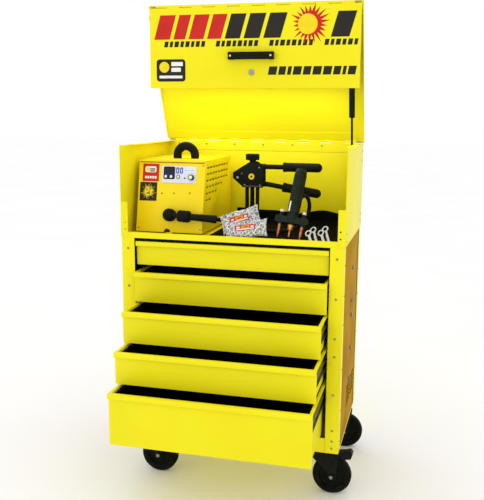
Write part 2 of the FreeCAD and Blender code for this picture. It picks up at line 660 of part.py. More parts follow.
def build_welder():
    """Wrap-around cover with vent slots, folded chassis, handle, control panel and its works."""
    x, wide = size("welder_x"), size("welder_width")
    body = new_body("cover")
    shell = sketch_on(body, "YZ_Plane", offset="welder_x")
    outline(shell, side_outline())
    pad(body, shell, "welder_width")
    inside = sketch_on(body, "YZ_Plane", offset="welder_x + 1.5")
    y, z, top = size("welder_y"), size("welder_z"), size("welder_top")
    back = y + size("welder_depth")
    outline(inside, [(y - 30, z - 10), (back + 10, z - 10), (back + 10, top - 1.5), (y - 30, top - 1.5)])
    pocket(body, inside, "welder_width - 3", back=True)
    slots = sketch_on(body, "YZ_Plane", offset="welder_x - 5")
    pitch = 36
    for drop, count in SLOT_ROWS:
        level = top - drop
        front = on_front(0, level).y + 24
        for n in range(count):
            a = front + n * pitch
            outline(slots, [(a, level - 3), (a + 24, level - 3), (a + 24, level + 3), (a, level + 3)])
    pocket(body, slots, "welder_width + 10", back=True)
    node("welder_cover", body)

    chassis = padded_profile("chassis", "YZ_Plane",
                             [(y, z), (back, z), (back, top - 1.8), (back - 1.5, top - 1.8),
                              (back - 1.5, z + 1.5), (y + 1.9, z + 1.5),
                              (y + size("welder_slant") + 1.3, top - 1.8),
                              (y + size("welder_slant") - 0.3, top - 1.8)],
                             "welder_width - 3.2", offset="welder_x + 1.6")
    feet = [rod(px, py, "deck_z + skin", 13, f"welder_z - deck_z - skin")
            for px, py in ((x + wide / 2, y + 8), (x + 30, back - 30), (x + wide - 30, back - 30))]
    bezel = placed(feature(Part.makeCylinder(19, 4, Vector(0, 0, 0), Vector(0, -1, 0))),
                   on_front(x + size("socket_x"), size("socket_z")), front_turn())
    node("welder_chassis", group(fuse(chassis, bezel), *feet))

    node("welder_handle", feature(handle_shape(x + wide / 2 + 19, y + 150)))

    panel = Part.makeBox(131, 3, size("panel_tall"), Vector(0, -3, 0))
    panel = panel.makeFillet(4, [e for e in panel.Edges if is_along(e, Vector(0, 1, 0))])
    key_z, key_r = size("key_level"), size("key_r")
    for px in KEYS.values():
        panel = panel.cut(Part.makeCylinder(key_r + 0.2, 8, Vector(px, -6, key_z), Vector(0, 1, 0)))
    panel = panel.cut(Part.makeBox(42, 1, 19, Vector(8, -3, 36)))
    panel = panel.cut(Part.makeBox(30, 1, 24, Vector(52, -3, 31)))
    corner = on_front(x + size("panel_x"), size("panel_z"))
    node("control_panel", placed(feature(panel), corner, front_turn()))
    for name, px in KEYS.items():
        cap = Part.makeCylinder(key_r, 4, Vector(px, -6, key_z), Vector(0, 1, 0))
        cap = cap.makeChamfer(0.8, [e for e in cap.Edges if abs(e.CenterOfMass.y + 6) < 0.01][:1])
        node(f"button_{name}", placed(feature(cap), corner, front_turn()))
    node("setting_knob", placed(feature(knob_shape(10, 14, 16)), corner + front_turn().multVec(
        Vector(114, -3.3, 20)), front_turn() * Rotation(Vector(1, 0, 0), 90)))

    cans = [rod(x + 60 + 44 * i, y + 190 + 44 * j, "welder_z + 1.5", 19, 105) for i in range(3)
            for j in range(3)]
    bars = [box(x + 55 + 44 * i, y + 172, "welder_z + 106.5", 10, 124, 4) for i in range(3)]
    node("capacitor_bank", fuse(*cans, *bars, box(x + 50, y + 225, "welder_z + 106.5", 108, 16, 4)))
    core = box(x + 45, y + 60, "welder_z + 1.5", 110, 26, 92)
    windings = [box(x + 62 + 46 * i, y + 44, "welder_z + 18", 32, 58, 60) for i in range(2)]
    node("transformer", fuse(core, *windings))


def handle_shape(x, y):
    """Arched carrying handle: two feet and a thick bow, along X."""
    top, rise, leg = size("welder_top"), size("handle_top"), 34
    thick, deep = 16, 13
    left, right = Vector(x - leg, y, top), Vector(x + leg, y, top)
    lift = Vector(0, 0, 8)
    path = Part.Wire([Part.LineSegment(left, left + lift).toShape(),
                      Part.Arc(left + lift, Vector(x, y, rise - deep), right + lift).toShape(),
                      Part.LineSegment(right + lift, right).toShape()])
    section = Part.Wire(Part.Ellipse(left, thick, deep).toShape())
    bow = path.makePipeShell([section], True, False)
    return bow.cut(Part.makeBox(200, 100, 40, Vector(x - 100, y - 50, top - 40)))


def knob_shape(radius, height, flutes):
    """Fluted knob on an axis along +Z, with a short pointer ridge."""
    body = Part.makeCylinder(radius, height)
    body = body.makeChamfer(1.5, [e for e in body.Edges if abs(e.CenterOfMass.z - height) < 0.01][:1])
    for n in range(flutes):
        angle = 2 * math.pi * n / flutes
        at = Vector((radius + 0.7) * math.cos(angle), (radius + 0.7) * math.sin(angle), 2)
        body = body.cut(Part.makeCylinder(radius * 0.14, height, at))
    return body


# ---------------------------------------------------------------- gun, plug and lead

def plug_points():
    """Places along the plug: its face on the socket, its elbow, nut, boot and the boot's end."""
    x, z = size("welder_x") + size("socket_x"), size("socket_z")
    face = on_front(x, z, 4)
    elbow = on_front(x, z, 26)
    nut = elbow + Vector(38, -1, -2)
    boot = elbow + Vector(80, -2, -4)
    end = boot + Vector(92, 29, -9)
    return face, elbow, nut, boot, end


def build_plug():
    """Plug on the welder's socket with its elbow, nut and tapered rubber boot."""
    face, elbow, nut, boot, end = plug_points()
    out = elbow - face
    body = Part.makeCylinder(23, out.Length, face, out)
    cap = Part.makeSphere(18, elbow)
    neck = Part.makeCylinder(8, (nut - elbow).Length, elbow, nut - elbow)
    collar = Part.makeCylinder(20, (boot - nut).Length, nut, boot - nut)
    rings = [Part.makeCylinder(21.5, 5, nut + (boot - nut) * share, boot - nut) for share in (0.1, 0.45, 0.75)]
    sleeve = Part.makeCone(11.5, 14.5, (end - boot).Length, boot, end - boot)
    node("gun_plug", feature(body.fuse([cap, neck, collar, sleeve, *rings]).removeSplitter()))


def gun_frame():
    """Placement of the gun: drawn nose down on +Z, then leaned right and back over its nose."""
    lean = Rotation(Vector(1, 0, 0), -size("gun_back")) * Rotation(Vector(0, 1, 0), size("gun_lean"))
    return Placement(Vector(196.5, 96, 961), lean)


PORT_WAY = Vector(0.25, 1, 0.75)
PORT_LONG = 30


def build_gun():
    """Gun barrel with its cross bar, and the three electrodes under it."""
    r, long = size("gun_r"), size("gun_long")
    barrel = turned("barrel", [(0, 4), (r - 6, 4), (r - 2, 10), (r - 2, 40), (r, 44), (r, long - 12),
                               (r - 4, long), (0, long)])
    placed(barrel, gun_frame().Base, gun_frame().Rotation)
    bar = feature(Part.makeBox(116, 26, 22, Vector(-58, -13, 8)).fuse(
        [Part.makeCylinder(11, 34, Vector(x, 0, 2)) for x in (-40, 40)]
        + [Part.makeCylinder(5, 12, Vector(x, 0, 36)) for x in (-40, 40)]).removeSplitter())
    placed(bar, gun_frame().Base, gun_frame().Rotation)
    port = feature(Part.makeCylinder(11, PORT_LONG, Vector(0, r - 8, 92), PORT_WAY))
    placed(port, gun_frame().Base, gun_frame().Rotation)
    node("weld_gun", fuse(barrel, bar, port))

    legs = []
    for x in (-40, 40):
        legs.append(Part.makeCylinder(5.5, 34, Vector(x, 0, -32)))
        legs[-1] = legs[-1].fuse([Part.makeCone(2.5, 5.5, 14, Vector(x, 0, -46)),
                                  Part.makeCylinder(6.4, 3, Vector(x, 0, -20))])
    collet = Part.makeCone(11.5, 7, 18, Vector(0, 0, -16)).fuse(
        [Part.makeCylinder(4, 40, Vector(0, 0, -40)), Part.makeCylinder(6, 3, Vector(0, 0, 1))])
    tips = feature(Part.makeCompound([*legs, collet]))
    node("gun_electrodes", placed(tips, gun_frame().Base, gun_frame().Rotation))


def lead_route():
    """Points of the gun's lead, from the boot's end to the port in the gun's back."""
    end = plug_points()[-1]
    way = Vector(PORT_WAY).normalize()
    port = gun_frame().multVec(Vector(0, size("gun_r") - 8, 92) + way * PORT_LONG)
    return [end, end + Vector(24, 26, -6), Vector(-10, 150, 948), Vector(34, 172, 932),
            Vector(82, 188, 923), Vector(132, 204, 920.5), Vector(176, 211, 926), Vector(207, 217, 943),
            Vector(228, 223, 966), Vector(238, 227, 995), Vector(241, 226, 1024),
            Vector(235, 216, 1049), Vector(224, 194, 1060), port]


def build_lead():
    """Lead as straight runs joined by tangent arcs, each as large as its two runs allow."""
    points = lead_route()
    edges, radii, at = [], [], points[0]
    for before, corner, after in zip(points, points[1:], points[2:]):
        back, on = before - corner, after - corner
        turn = math.pi - back.getAngle(on)
        cutback = 0.45 * min(back.Length, on.Length)
        radius = cutback / math.tan(turn / 2)
        start = corner + back.normalize() * cutback
        end = corner + on.normalize() * cutback
        middle = (back + on).normalize()
        rise = radius / math.cos(turn / 2) - radius
        edges.append(Part.LineSegment(at, start).toShape())
        edges.append(Part.Arc(start, corner + middle * rise, end).toShape())
        radii.append(round(radius))
        at = end
    edges.append(Part.LineSegment(at, points[-1]).toShape())
    wire = Part.Wire(edges)
    ring = Part.Wire(Part.Circle(points[0], points[1] - points[0], size("cable_r")).toShape())
    tube = wire.makePipeShell([ring], True, False)
    long = sum(e.Length for e in edges)
    share = tube.Volume / (math.pi * size("cable_r") ** 2 * long)
    print("lead length", round(long, 1), "volume share", round(share, 4), "radii", radii)
    node("gun_cable", feature(tube))


# ---------------------------------------------------------------- puller, keys and bags

def build_puller():
    """Lever puller: cheek plates on four legs, a fixed grip, a hand lever and a feed knob."""
    x, y, z = size("puller_x"), size("puller_y"), size("grip_z")
    cheek = [(-56, z - 43), (-56, z - 22), (7, z + 18), (26, z + 18), (40, z + 9), (58, z + 9),
             (58, z - 76), (-18, z - 76)]
    plates = [padded_profile("cheek", "XZ_Plane", [(x + px, pz) for px, pz in cheek], 5, offset=-off)
              for off in (y - 19, y + 24)]
    spacer = Part.makeBox(44, 33, 14, Vector(x - 16, y - 14, z - 76))
    cap = Part.makeBox(54, 33, 8, Vector(x - 5, y - 14, z + 1))
    pins = [Part.makeCylinder(5, 44, Vector(x + px, y - 20, z + pz), Vector(0, 1, 0))
            for px, pz in ((-44, -32), (44, -2))]
    grip = feature(grip_shape(Vector(x + 40, y, z), Vector(1, 0, 0)))
    legs = [Part.makeCylinder(4, 160, Vector(x + px, y + py, z - 236)) for px in (-8, 32)
            for py in (-11, 15)]
    floor = size("deck_z") + size("skin")
    foot = Part.makeBox(86, 70, 8, Vector(x - 32, y - 33, floor))
    foot = foot.cut(Part.makeCylinder(16, 12, Vector(x + 12, y + 2, floor - 2)))
    frame = fuse(*plates, feature(spacer), feature(cap), grip, *[feature(p) for p in pins],
                 *[feature(leg) for leg in legs], feature(foot))
    shaft_way = rod(x + 12, y + 2, z - 90, 8.4, 120)
    node("puller_frame", cut(frame, shaft_way))

    drop = Rotation(Vector(0, 1, 0), 9)
    lever = grip_shape(Vector(x + 40, y + 2, z - 60), drop.multVec(Vector(1, 0, 0)))
    lug = Part.makeCylinder(9, 18, Vector(x + 40, y - 7, z - 60), Vector(0, 1, 0))
    node("puller_lever", feature(lever.fuse(lug).removeSplitter()))

    stem = Part.makeCylinder(8, 235, Vector(0, 0, -190))
    hat = knob_shape(25.5, 22, 9)
    hat.translate(Vector(0, 0, 24))
    taper = Part.makeCone(9, 13, 12, Vector(0, 0, 12))
    nose = Part.makeCone(3, 8, 12, Vector(0, 0, -202))
    knob = stem.fuse([hat, taper, nose])
    node("puller_knob", placed(feature(knob), Vector(x + 12, y + 2, z)))


def grip_shape(start, along):
    """Steel rod with a round-ended rubber grip on its far end."""
    r, length = size("grip_r"), 143
    first = start + along * 90
    steel = Part.makeCylinder(9, 95, start, along)
    collar = Part.makeCylinder(r + 1, 10, first, along)
    rubber = Part.makeCylinder(r, length - r, first, along)
    tip = Part.makeSphere(r, first + along * (length - r))
    return steel.fuse([collar, rubber, tip]).removeSplitter()


def key_shape(long):
    """Small ring key: an open eye and a flat shank, drawn upright."""
    eye = Part.makeCylinder(12, 3, Vector(0, 0, 0), Vector(0, 1, 0))
    shank = Part.makeBox(9, 3, long - 8, Vector(-4.5, 0, -long))
    hole = Part.makeCylinder(7, 5, Vector(0, -1, 0), Vector(0, 1, 0))
    return eye.fuse(shank).cut(hole).removeSplitter()


def build_keys():
    """Four pull keys that lean in the front corner of the deck, fanned in pairs."""
    keys = []
    for x, y, z, lean, back, long in ((265, 56, 945, -30, 42, 42), (279, 73, 955, -27, 41, 56),
                                      (308, 58, 948, -30, 42, 47), (320, 75, 959, -27, 41, 61)):
        turn = Rotation(Vector(0, 1, 0), lean) * Rotation(Vector(1, 0, 0), -back)
        keys.append(placed(feature(key_shape(long)), Vector(x, y, z), turn))
    node("pull_keys", group(*keys))


def bag_shape(wide, tall, thick):
    """Sealed pillow of studs: a lofted lens with flat seams at its two ends."""
    rings = []
    for share, fat, broad in ((0, 0.1, 1.0), (0.12, 0.55, 0.93), (0.5, 1.0, 0.9), (0.88, 0.55, 0.93),
                              (1, 0.1, 1.0)):
        half, deep = wide / 2 * broad, max(thick / 2 * fat, 1.2)
        z = tall * (share - 0.5)
        points = [Vector(half * math.cos(a), deep * math.sin(a), z)
                  for a in [2 * math.pi * n / 16 for n in range(16)]]
        rings.append(Part.makePolygon(points + points[:1]))
    return Part.makeLoft(rings, True, True)


def build_bags():
    """Two bags of studs, one propped behind the other."""
    rear = placed(feature(bag_shape(148, 76, 30)), Vector(19, 84, 975),
                  Rotation(Vector(0, 1, 0), -19) * Rotation(Vector(1, 0, 0), -20))
    front = placed(feature(bag_shape(152, 64, 28)), Vector(50, 42, 951),
                   Rotation(Vector(0, 1, 0), -8) * Rotation(Vector(1, 0, 0), -26))
    node("stud_bags", group(rear, front))


# ---------------------------------------------------------------- fasteners

def build_fasteners():
    """Post screws, side bolts, hutch screws, hinge screws and the strut's lower stud."""
    heads = []
    post_x = (size("cart_width") - size("post_face")) / 2
    levels = [870, 732, 593, 529, 392, 260, 221, 195]
    for side in SIDES.values():
        for z in levels:
            heads.append(round_head(Vector(side * post_x, 0, z), Vector(0, -1, 0), 4.5, 2.4))
        outside = size("cart_width") / 2
        for z in (847, 740, 639, 480, 330, 215):
            heads.append(round_head(Vector(side * outside, 22, z), Vector(side, 0, 0), 3.5, 1.8))
            heads.append(round_head(Vector(side * outside, size("cart_depth") - 22, z),
                                    Vector(side, 0, 0), 3.5, 1.8))
        for z in (787, 661, 606, 478, 353):
            heads.append(hex_head(Vector(side * (outside - size("skin")), 285, z), side))
        edge = size("hutch_width") / 2
        for y, z in ((30, 951), (30, 925), (480, 1204), (480, 1168), (480, 963), (480, 935)):
            heads.append(round_head(Vector(side * edge, y, z), Vector(side, 0, 0), 3.5, 1.8))
    leaf_y = size("cart_depth") - 2 * size("skin")
    for n in range(7):
        at = Vector(-356 + 118.7 * n, leaf_y, 1221)
        heads.append(round_head(at, Vector(0, -1, 0), 3.6, 1.8))
    low = Vector(size("hutch_width") / 2 - size("skin"), size("strut_low_y"), size("strut_low_z"))
    stud = Part.makeCylinder(5, low.x - size("strut_x") - 5.5, low, Vector(-1, 0, 0))
    heads.append(stud.fuse(Part.makeCylinder(9, 3, low, Vector(-1, 0, 0))))
    node("frame_bolts", feature(Part.makeCompound(heads)))


def round_head(at, out, radius, height):
    """Pan head that stands out of a face, with a small cross recess."""
    head = Part.makeCone(radius, radius * 0.62, height, at, out)
    return head.cut(Part.makeCylinder(radius * 0.22, height * 0.6, at + out * (height * 0.5), out))


def hex_head(at, side):
    """Hexagon bolt head on a washer, on a cabinet side."""
    corners = [Vector(0, 8 * math.cos(a), 8 * math.sin(a)) for a in [math.pi * n / 3 for n in range(6)]]
    head = Part.Face(Part.makePolygon(corners + corners[:1])).extrude(Vector(side * 6.5, 0, 0))
    head.translate(at)
    return head.fuse(Part.makeCylinder(11, 1.6, at, Vector(side, 0, 0)))


# ---------------------------------------------------------------- build and write

def check(thing):
    """Stops the build if a piece is failed, empty or not valid."""
    shape = thing.Shape
    if shape.isNull() or not shape.isValid() or not shape.Solids:
        raise SystemExit(f"{thing.Label}: no valid solid")


def main():
    """Builds every piece, checks them all and writes one STEP file for each."""
    build_cabinet()
    build_hutch()
    build_lid()
    build_flap()
    build_strut()
    build_drawers()
    build_casters()
    build_welder()
    build_plug()
    build_gun()
    build_lead()
    build_puller()
    build_keys()
    build_bags()
    build_fasteners()
    doc.recompute()
    bad = [o.Label for o in doc.Objects if "Invalid" in o.State or "Error" in o.State]
    if bad:
        raise SystemExit(f"failed objects: {bad}")
    for thing in NODES:
        check(thing)
    os.makedirs("parts", exist_ok=True)
    for old in os.listdir("parts"):
        os.remove(os.path.join("parts", old))
    for thing in NODES:
        thing.Shape.exportStep(os.path.join("parts", thing.Label + ".step"))
    print(len(NODES), "nodes")


main()
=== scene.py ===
"""Looks of the repair station: a stud spot welder in the lidded hutch of a five-drawer cart.

Every piece is placed in cart millimetres (X from the cart's middle, Y from the front of the posts,
Z from the floor) and turned to the row frame's metres by at().
"""

import json
import logging
import math
import random
from dataclasses import dataclass, field
from enum import Enum
from typing import Callable, Iterable, Optional, Sequence

import bmesh
import bpy
from mathutils import Matrix, Vector, noise


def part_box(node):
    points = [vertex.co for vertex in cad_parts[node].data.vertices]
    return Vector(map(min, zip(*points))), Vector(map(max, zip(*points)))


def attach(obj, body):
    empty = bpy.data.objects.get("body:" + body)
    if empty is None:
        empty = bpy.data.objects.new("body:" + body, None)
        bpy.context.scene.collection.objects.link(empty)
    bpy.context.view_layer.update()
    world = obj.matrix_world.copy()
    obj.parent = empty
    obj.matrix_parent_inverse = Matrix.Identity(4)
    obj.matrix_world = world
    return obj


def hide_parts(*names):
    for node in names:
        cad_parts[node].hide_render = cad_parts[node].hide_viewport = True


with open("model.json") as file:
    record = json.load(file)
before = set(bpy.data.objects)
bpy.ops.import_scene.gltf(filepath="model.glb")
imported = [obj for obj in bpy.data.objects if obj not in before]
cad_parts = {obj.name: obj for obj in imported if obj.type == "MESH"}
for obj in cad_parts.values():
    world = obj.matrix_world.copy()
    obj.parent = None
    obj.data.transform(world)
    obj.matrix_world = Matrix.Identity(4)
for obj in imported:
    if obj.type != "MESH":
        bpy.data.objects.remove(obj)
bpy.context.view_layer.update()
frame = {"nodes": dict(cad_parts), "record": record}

log = logging.getLogger("station")
Point = Sequence[float]
Chooser = Callable[[Vector, Vector], bool]

POSTS_LOW, POSTS_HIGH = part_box("corner_posts")
CART_MIDDLE = (POSTS_LOW.x + POSTS_HIGH.x) / 2
CART_FRONT = POSTS_LOW.y
DECK_TOP = 910.0
SKIN = 2.0
CASTERS = ("front_left", "front_right", "rear_left", "rear_right")


class Side(Enum):
    """Left or right of a middle, with its sign along X."""

    LEFT = -1
    RIGHT = 1

    @property
    def label(self) -> str:
        """The side's name as a piece's name has it."""
        return self.name.lower()


def at(x: float, y: float, z: float) -> Vector:
    """Turns a place in cart millimetres into the row frame's metres."""
    return Vector((CART_MIDDLE + x / 1000, CART_FRONT + y / 1000, z / 1000))


def cart(point: Vector) -> Vector:
    """Turns a place in the row frame's metres into cart millimetres."""
    return Vector(((point.x - CART_MIDDLE) * 1000, (point.y - CART_FRONT) * 1000, point.z * 1000))


def box_of(node: str) -> tuple[Vector, Vector]:
    """Lowest and highest corner of a CAD node at rest, in cart millimetres."""
    low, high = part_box(node)
    return cart(low), cart(high)


# ---------------------------------------------------------------- finishes

def linear(hex_colour: str) -> tuple[float, float, float, float]:
    """Turns an sRGB hex colour into linear light.

    Args:
        hex_colour: six hex digits after a hash sign.

    Returns:
        Red, green, blue and an alpha of 1.
    """
    values = [int(hex_colour[i:i + 2], 16) / 255 for i in (1, 3, 5)]
    light = [v / 12.92 if v <= 0.04045 else ((v + 0.055) / 1.055) ** 2.4 for v in values]
    return (light[0], light[1], light[2], 1.0)


def add_node(tree: bpy.types.NodeTree, kind: str, inputs: Optional[dict] = None,
             **settings: object) -> bpy.types.Node:
    """Adds one shader node.

    Args:
        tree: the material's node tree.
        kind: the node's type.
        inputs: socket name or number to a value, or to the output socket that feeds it.
        **settings: properties of the node itself.

    Returns:
        The new node.
    """
    made = tree.nodes.new(kind)
    for name, value in settings.items():
        setattr(made, name, value)
    for name, value in (inputs or {}).items():
        if isinstance(value, bpy.types.NodeSocket):
            tree.links.new(value, made.inputs[name])
        else:
            made.inputs[name].default_value = value
    return made


def per_metre(size_mm: float) -> float:
    """Texture scale on Object coordinates whose features are about size_mm across."""
    return 1000 / size_mm


@dataclass(frozen=True)
class Finish:
    """A surface: its colour, its gloss and the pattern that it was made with."""

    name: str
    colour: str
    roughness: float = 0.5
    metallic: float = 0.0
    coat: float = 0.0
    coat_roughness: float = 0.1
    second: str = ""
    patch_mm: float = 120.0
    grain_mm: float = 5.0
    grain_height: float = 0.02
    uneven: float = 0.06
    sheen: float = 0.22

    def build(self) -> bpy.types.Material:
        """Makes the material once and returns it."""
        found = bpy.data.materials.get(self.name)
        if found:
            return found
        made = bpy.data.materials.new(self.name)
        made.use_nodes = True
        tree = made.node_tree
        tree.nodes.clear()
        output = add_node(tree, "ShaderNodeOutputMaterial")
        shader = add_node(tree, "ShaderNodeBsdfPrincipled", {
            "Roughness": self.roughness, "Metallic": self.metallic, "Coat Weight": self.coat,
            "Coat Roughness": self.coat_roughness,
            "Specular IOR Level": 0.5 if self.metallic else self.sheen})
        tree.links.new(shader.outputs[0], output.inputs[0])
        places = add_node(tree, "ShaderNodeTexCoord").outputs["Object"]
        self.dress(tree, shader, places)
        made.diffuse_color = linear(self.colour)
        return made

    def dress(self, tree: bpy.types.NodeTree, shader: bpy.types.Node,
              places: bpy.types.NodeSocket) -> None:
        """Gives the shader its colour, roughness and relief."""
        patches = self.noise(tree, places, self.patch_mm, 2.0)
        self.colour_by(tree, shader, patches.outputs[0], self.second or self.colour)
        self.roughness_by(tree, shader, patches.outputs[0])
        grain = self.noise(tree, places, self.grain_mm, 3.0)
        self.relief(tree, shader, grain.outputs[0])

    def noise(self, tree: bpy.types.NodeTree, places: bpy.types.NodeSocket, size_mm: float,
              detail: float) -> bpy.types.Node:
        """Soft noise with features of a real size."""
        return add_node(tree, "ShaderNodeTexNoise", {"Vector": places, "Scale": per_metre(size_mm),
                                                     "Detail": detail})

    def colour_by(self, tree: bpy.types.NodeTree, shader: bpy.types.Node,
                  share: bpy.types.NodeSocket, other: str, low: float = 0.35,
                  high: float = 0.65) -> None:
        """Mixes the colour towards another one, by a pattern."""
        ramp = add_node(tree, "ShaderNodeMapRange", {"Value": share, "From Min": low, "From Max": high})
        mixed = add_node(tree, "ShaderNodeMix", {0: ramp.outputs[0], 6: linear(self.colour),
                                                 7: linear(other)}, data_type="RGBA")
        tree.links.new(mixed.outputs[2], shader.inputs["Base Color"])

    def roughness_by(self, tree: bpy.types.NodeTree, shader: bpy.types.Node,
                     share: bpy.types.NodeSocket) -> None:
        """Spreads the roughness a little about its value, by a pattern."""
        spread = add_node(tree, "ShaderNodeMapRange", {
            "Value": share, "To Min": self.roughness - self.uneven,
            "To Max": self.roughness + self.uneven})
        tree.links.new(spread.outputs[0], shader.inputs["Roughness"])

    def relief(self, tree: bpy.types.NodeTree, shader: bpy.types.Node,
               height: bpy.types.NodeSocket) -> None:
        """Raises the surface by a pattern, as far as grain_height says."""
        bump = add_node(tree, "ShaderNodeBump", {"Height": height, "Strength": self.grain_height * 10,
                                                 "Distance": 0.001})
        tree.links.new(bump.outputs[0], shader.inputs["Normal"])


@dataclass(frozen=True)
class Brushed(Finish):
    """Metal with fine parallel lines from the belt, along one axis."""

    stretch: tuple[float, float, float] = (0.04, 1.0, 1.0)

    def dress(self, tree: bpy.types.NodeTree, shader: bpy.types.Node,
              places: bpy.types.NodeSocket) -> None:
        """Draws the lines and a few darker patches where hands have been."""
        turned = add_node(tree, "ShaderNodeMapping", {"Vector": places, "Scale": self.stretch})
        lines = self.noise(tree, turned.outputs[0], self.grain_mm, 4.0)
        patches = self.noise(tree, places, self.patch_mm, 2.0)
        self.colour_by(tree, shader, patches.outputs[0], self.second or self.colour)
        self.roughness_by(tree, shader, lines.outputs[0])
        self.relief(tree, shader, lines.outputs[0])


@dataclass(frozen=True)
class Spangled(Finish):
    """Zinc or nickel plate with faint crystal patches."""

    def dress(self, tree: bpy.types.NodeTree, shader: bpy.types.Node,
              places: bpy.types.NodeSocket) -> None:
        """Draws the crystals in two tones."""
        cells = add_node(tree, "ShaderNodeTexVoronoi", {"Vector": places,
                                                        "Scale": per_metre(self.grain_mm)})
        tone = add_node(tree, "ShaderNodeSeparateColor", {0: cells.outputs["Color"]})
        self.colour_by(tree, shader, tone.outputs[0], self.second or self.colour, 0.0, 1.0)
        self.roughness_by(tree, shader, tone.outputs[1])


@dataclass(frozen=True)
class Film(Finish):
    """Clear bag film: see-through between creases painted white as highlights."""

    clear: float = 0.8

    def dress(self, tree: bpy.types.NodeTree, shader: bpy.types.Node,
              places: bpy.types.NodeSocket) -> None:
        """Draws long sharp creases painted white as highlights, which hide what is behind them."""
        warp = self.noise(tree, places, self.patch_mm * 1.6, 2.0)
        moved = add_node(tree, "ShaderNodeMix", {0: 0.012, 4: places, 5: warp.outputs["Color"]},
                         data_type="VECTOR")
        cells = add_node(tree, "ShaderNodeTexVoronoi", {"Vector": moved.outputs[1],
                                                        "Scale": per_metre(self.patch_mm)},
                         feature="DISTANCE_TO_EDGE")
        crease_glint = add_node(tree, "ShaderNodeMapRange", {"Value": cells.outputs["Distance"], "From Min": 0.0,
                                                      "From Max": 0.13, "To Min": 0.95,
                                                      "To Max": 1.0 - self.clear})
        shader.inputs["Base Color"].default_value = linear(self.colour)
        tree.links.new(crease_glint.outputs[0], shader.inputs["Alpha"])
        self.relief(tree, shader, cells.outputs["Distance"])


# Gloss polyester powder coat on steel, sprayed and baked: clear strong yellow, a wet sheen and a
# faint orange peel, drawn at 6 mm because the real 1.5 mm cells are too fine to show.
CART_YELLOW = Finish("gloss_yellow_powder_coat", "#F4E91C", 0.4, coat=0.02, coat_roughness=0.12,
                     second="#F1E418", patch_mm=260, grain_mm=6, grain_height=0.012, uneven=0.04,
                     sheen=0.12)
# The welder's own coat: the same paint, a shade warmer.
WELDER_YELLOW = Finish("warm_yellow_powder_coat", "#FBE112", 0.4, coat=0.03, coat_roughness=0.15,
                       second="#F8DA0E", patch_mm=140, grain_mm=6, grain_height=0.014, uneven=0.04)
# Satin black powder coat on forged and folded steel: nearly black, with soft highlights.
BLACK_STEEL = Finish("satin_black_powder_coat", "#0E100B", 0.5, second="#151711", patch_mm=40,
                     grain_mm=3, grain_height=0.03, uneven=0.08, sheen=0.1)
# The cabinet's side sheets: the same yellow coat, painted darker golden brown as the shade that falls on
# the sides.
SHADED_SIDE_YELLOW = Finish("painted_shade_side_yellow", "#BA8C14", 0.65,
                       second="#A67A12", patch_mm=180, grain_mm=6, grain_height=0.012, uneven=0.06,
                       sheen=0.02)
# Inside of the cabinet: painted shade, dull black, where the inside lies in shadow.
INSIDE_SHADE_BLACK = Finish("painted_inside_shade_black", "#060705", 0.8, second="#0B0C0A", patch_mm=60, grain_mm=4,
                      grain_height=0.03, uneven=0.06, sheen=0.04)
# Nitrided piston rod and tube of the gas strut: satin black over steel.
BLACK_NITRIDE = Finish("black_nitrided_steel", "#0C0D0A", 0.36, second="#131410", patch_mm=20,
                       grain_mm=2, grain_height=0.01, uneven=0.08, sheen=0.1)
# Bright zinc on pressed screws: grey with a faint spangle and a soft shine.
ZINC = Spangled("bright_zinc_plate", "#A9A69C", 0.3, 1.0, second="#8B887E", grain_mm=2.5, uneven=0.08)
# Nickel-plated spring steel of the keys, studs and pull screws: bright, with fine lines along it.
NICKEL = Brushed("polished_nickel_steel", "#D6D5D0", 0.2, 1.0, second="#BDBCB6", patch_mm=14,
                 grain_mm=1.5, grain_height=0.02, uneven=0.08)
# Cold-rolled slide channel under a dull zinc coat.
SLIDE_STEEL = Brushed("dull_zinc_slide_steel", "#8E8D88", 0.4, 1.0, second="#75746F", patch_mm=30,
                      grain_mm=2, grain_height=0.02, uneven=0.1, stretch=(1.0, 0.04, 1.0))
# Injection-moulded ABS with a fine spark-eroded grain.
BLACK_ABS = Finish("grained_black_abs", "#0B0C08", 0.5, second="#12130F", patch_mm=30, grain_mm=1.6,
                   grain_height=0.05, uneven=0.06, sheen=0.12)
# Moulded nitrile rubber of the boot, lead and grips: matt, with a bloom of grey.
RUBBER = Finish("moulded_black_rubber", "#0A0B09", 0.6, second="#141512", patch_mm=25, grain_mm=2.2,
                grain_height=0.05, uneven=0.1, sheen=0.12)
# Cast polyurethane tyre: matt black that picks up floor dust.
TYRE = Finish("black_polyurethane_tyre", "#0C0E0A", 0.62, second="#14160F", patch_mm=18, grain_mm=2.5,
              grain_height=0.06, uneven=0.1, sheen=0.06)
# Glass-filled nylon of the gun's barrel: dark green-black with a satin skin.
GUN_NYLON = Finish("green_black_nylon", "#131C14", 0.36, second="#1B261D", patch_mm=22, grain_mm=2,
                   grain_height=0.03, uneven=0.06, sheen=0.16)
# Hard-drawn copper electrodes: orange-brown, dulled by heat towards the tips.
COPPER = Brushed("heat_dulled_copper", "#D08A62", 0.32, 1.0, second="#A9613F", patch_mm=12, grain_mm=2,
                 grain_height=0.03, uneven=0.1, stretch=(1.0, 1.0, 0.06))
# Turned brass of the gun's collet.
BRASS = Brushed("turned_brass", "#E0AC4A", 0.26, 1.0, second="#C08A30", patch_mm=10, grain_mm=1.5,
                grain_height=0.02, uneven=0.08, stretch=(1.0, 1.0, 0.06))
# Black liner of the drawers, turned up all four walls: painted shade for the dark inside of each drawer;
# matt, with fine pores.
DRAWER_SHADE_BLACK = Finish("painted_shade_drawer_liner", "#050604", 0.9, second="#0A0B09", patch_mm=60, grain_mm=2.4,
              grain_height=0.08, uneven=0.05, sheen=0.03)
# Ribbed nitrile mat on the work deck: dull black, thrown slightly out of flat.
MAT_RUBBER = Finish("dull_black_mat_rubber", "#060705", 0.85, second="#0D0E0B", patch_mm=45, grain_mm=3,
                    grain_height=0.08, uneven=0.08, sheen=0.04)
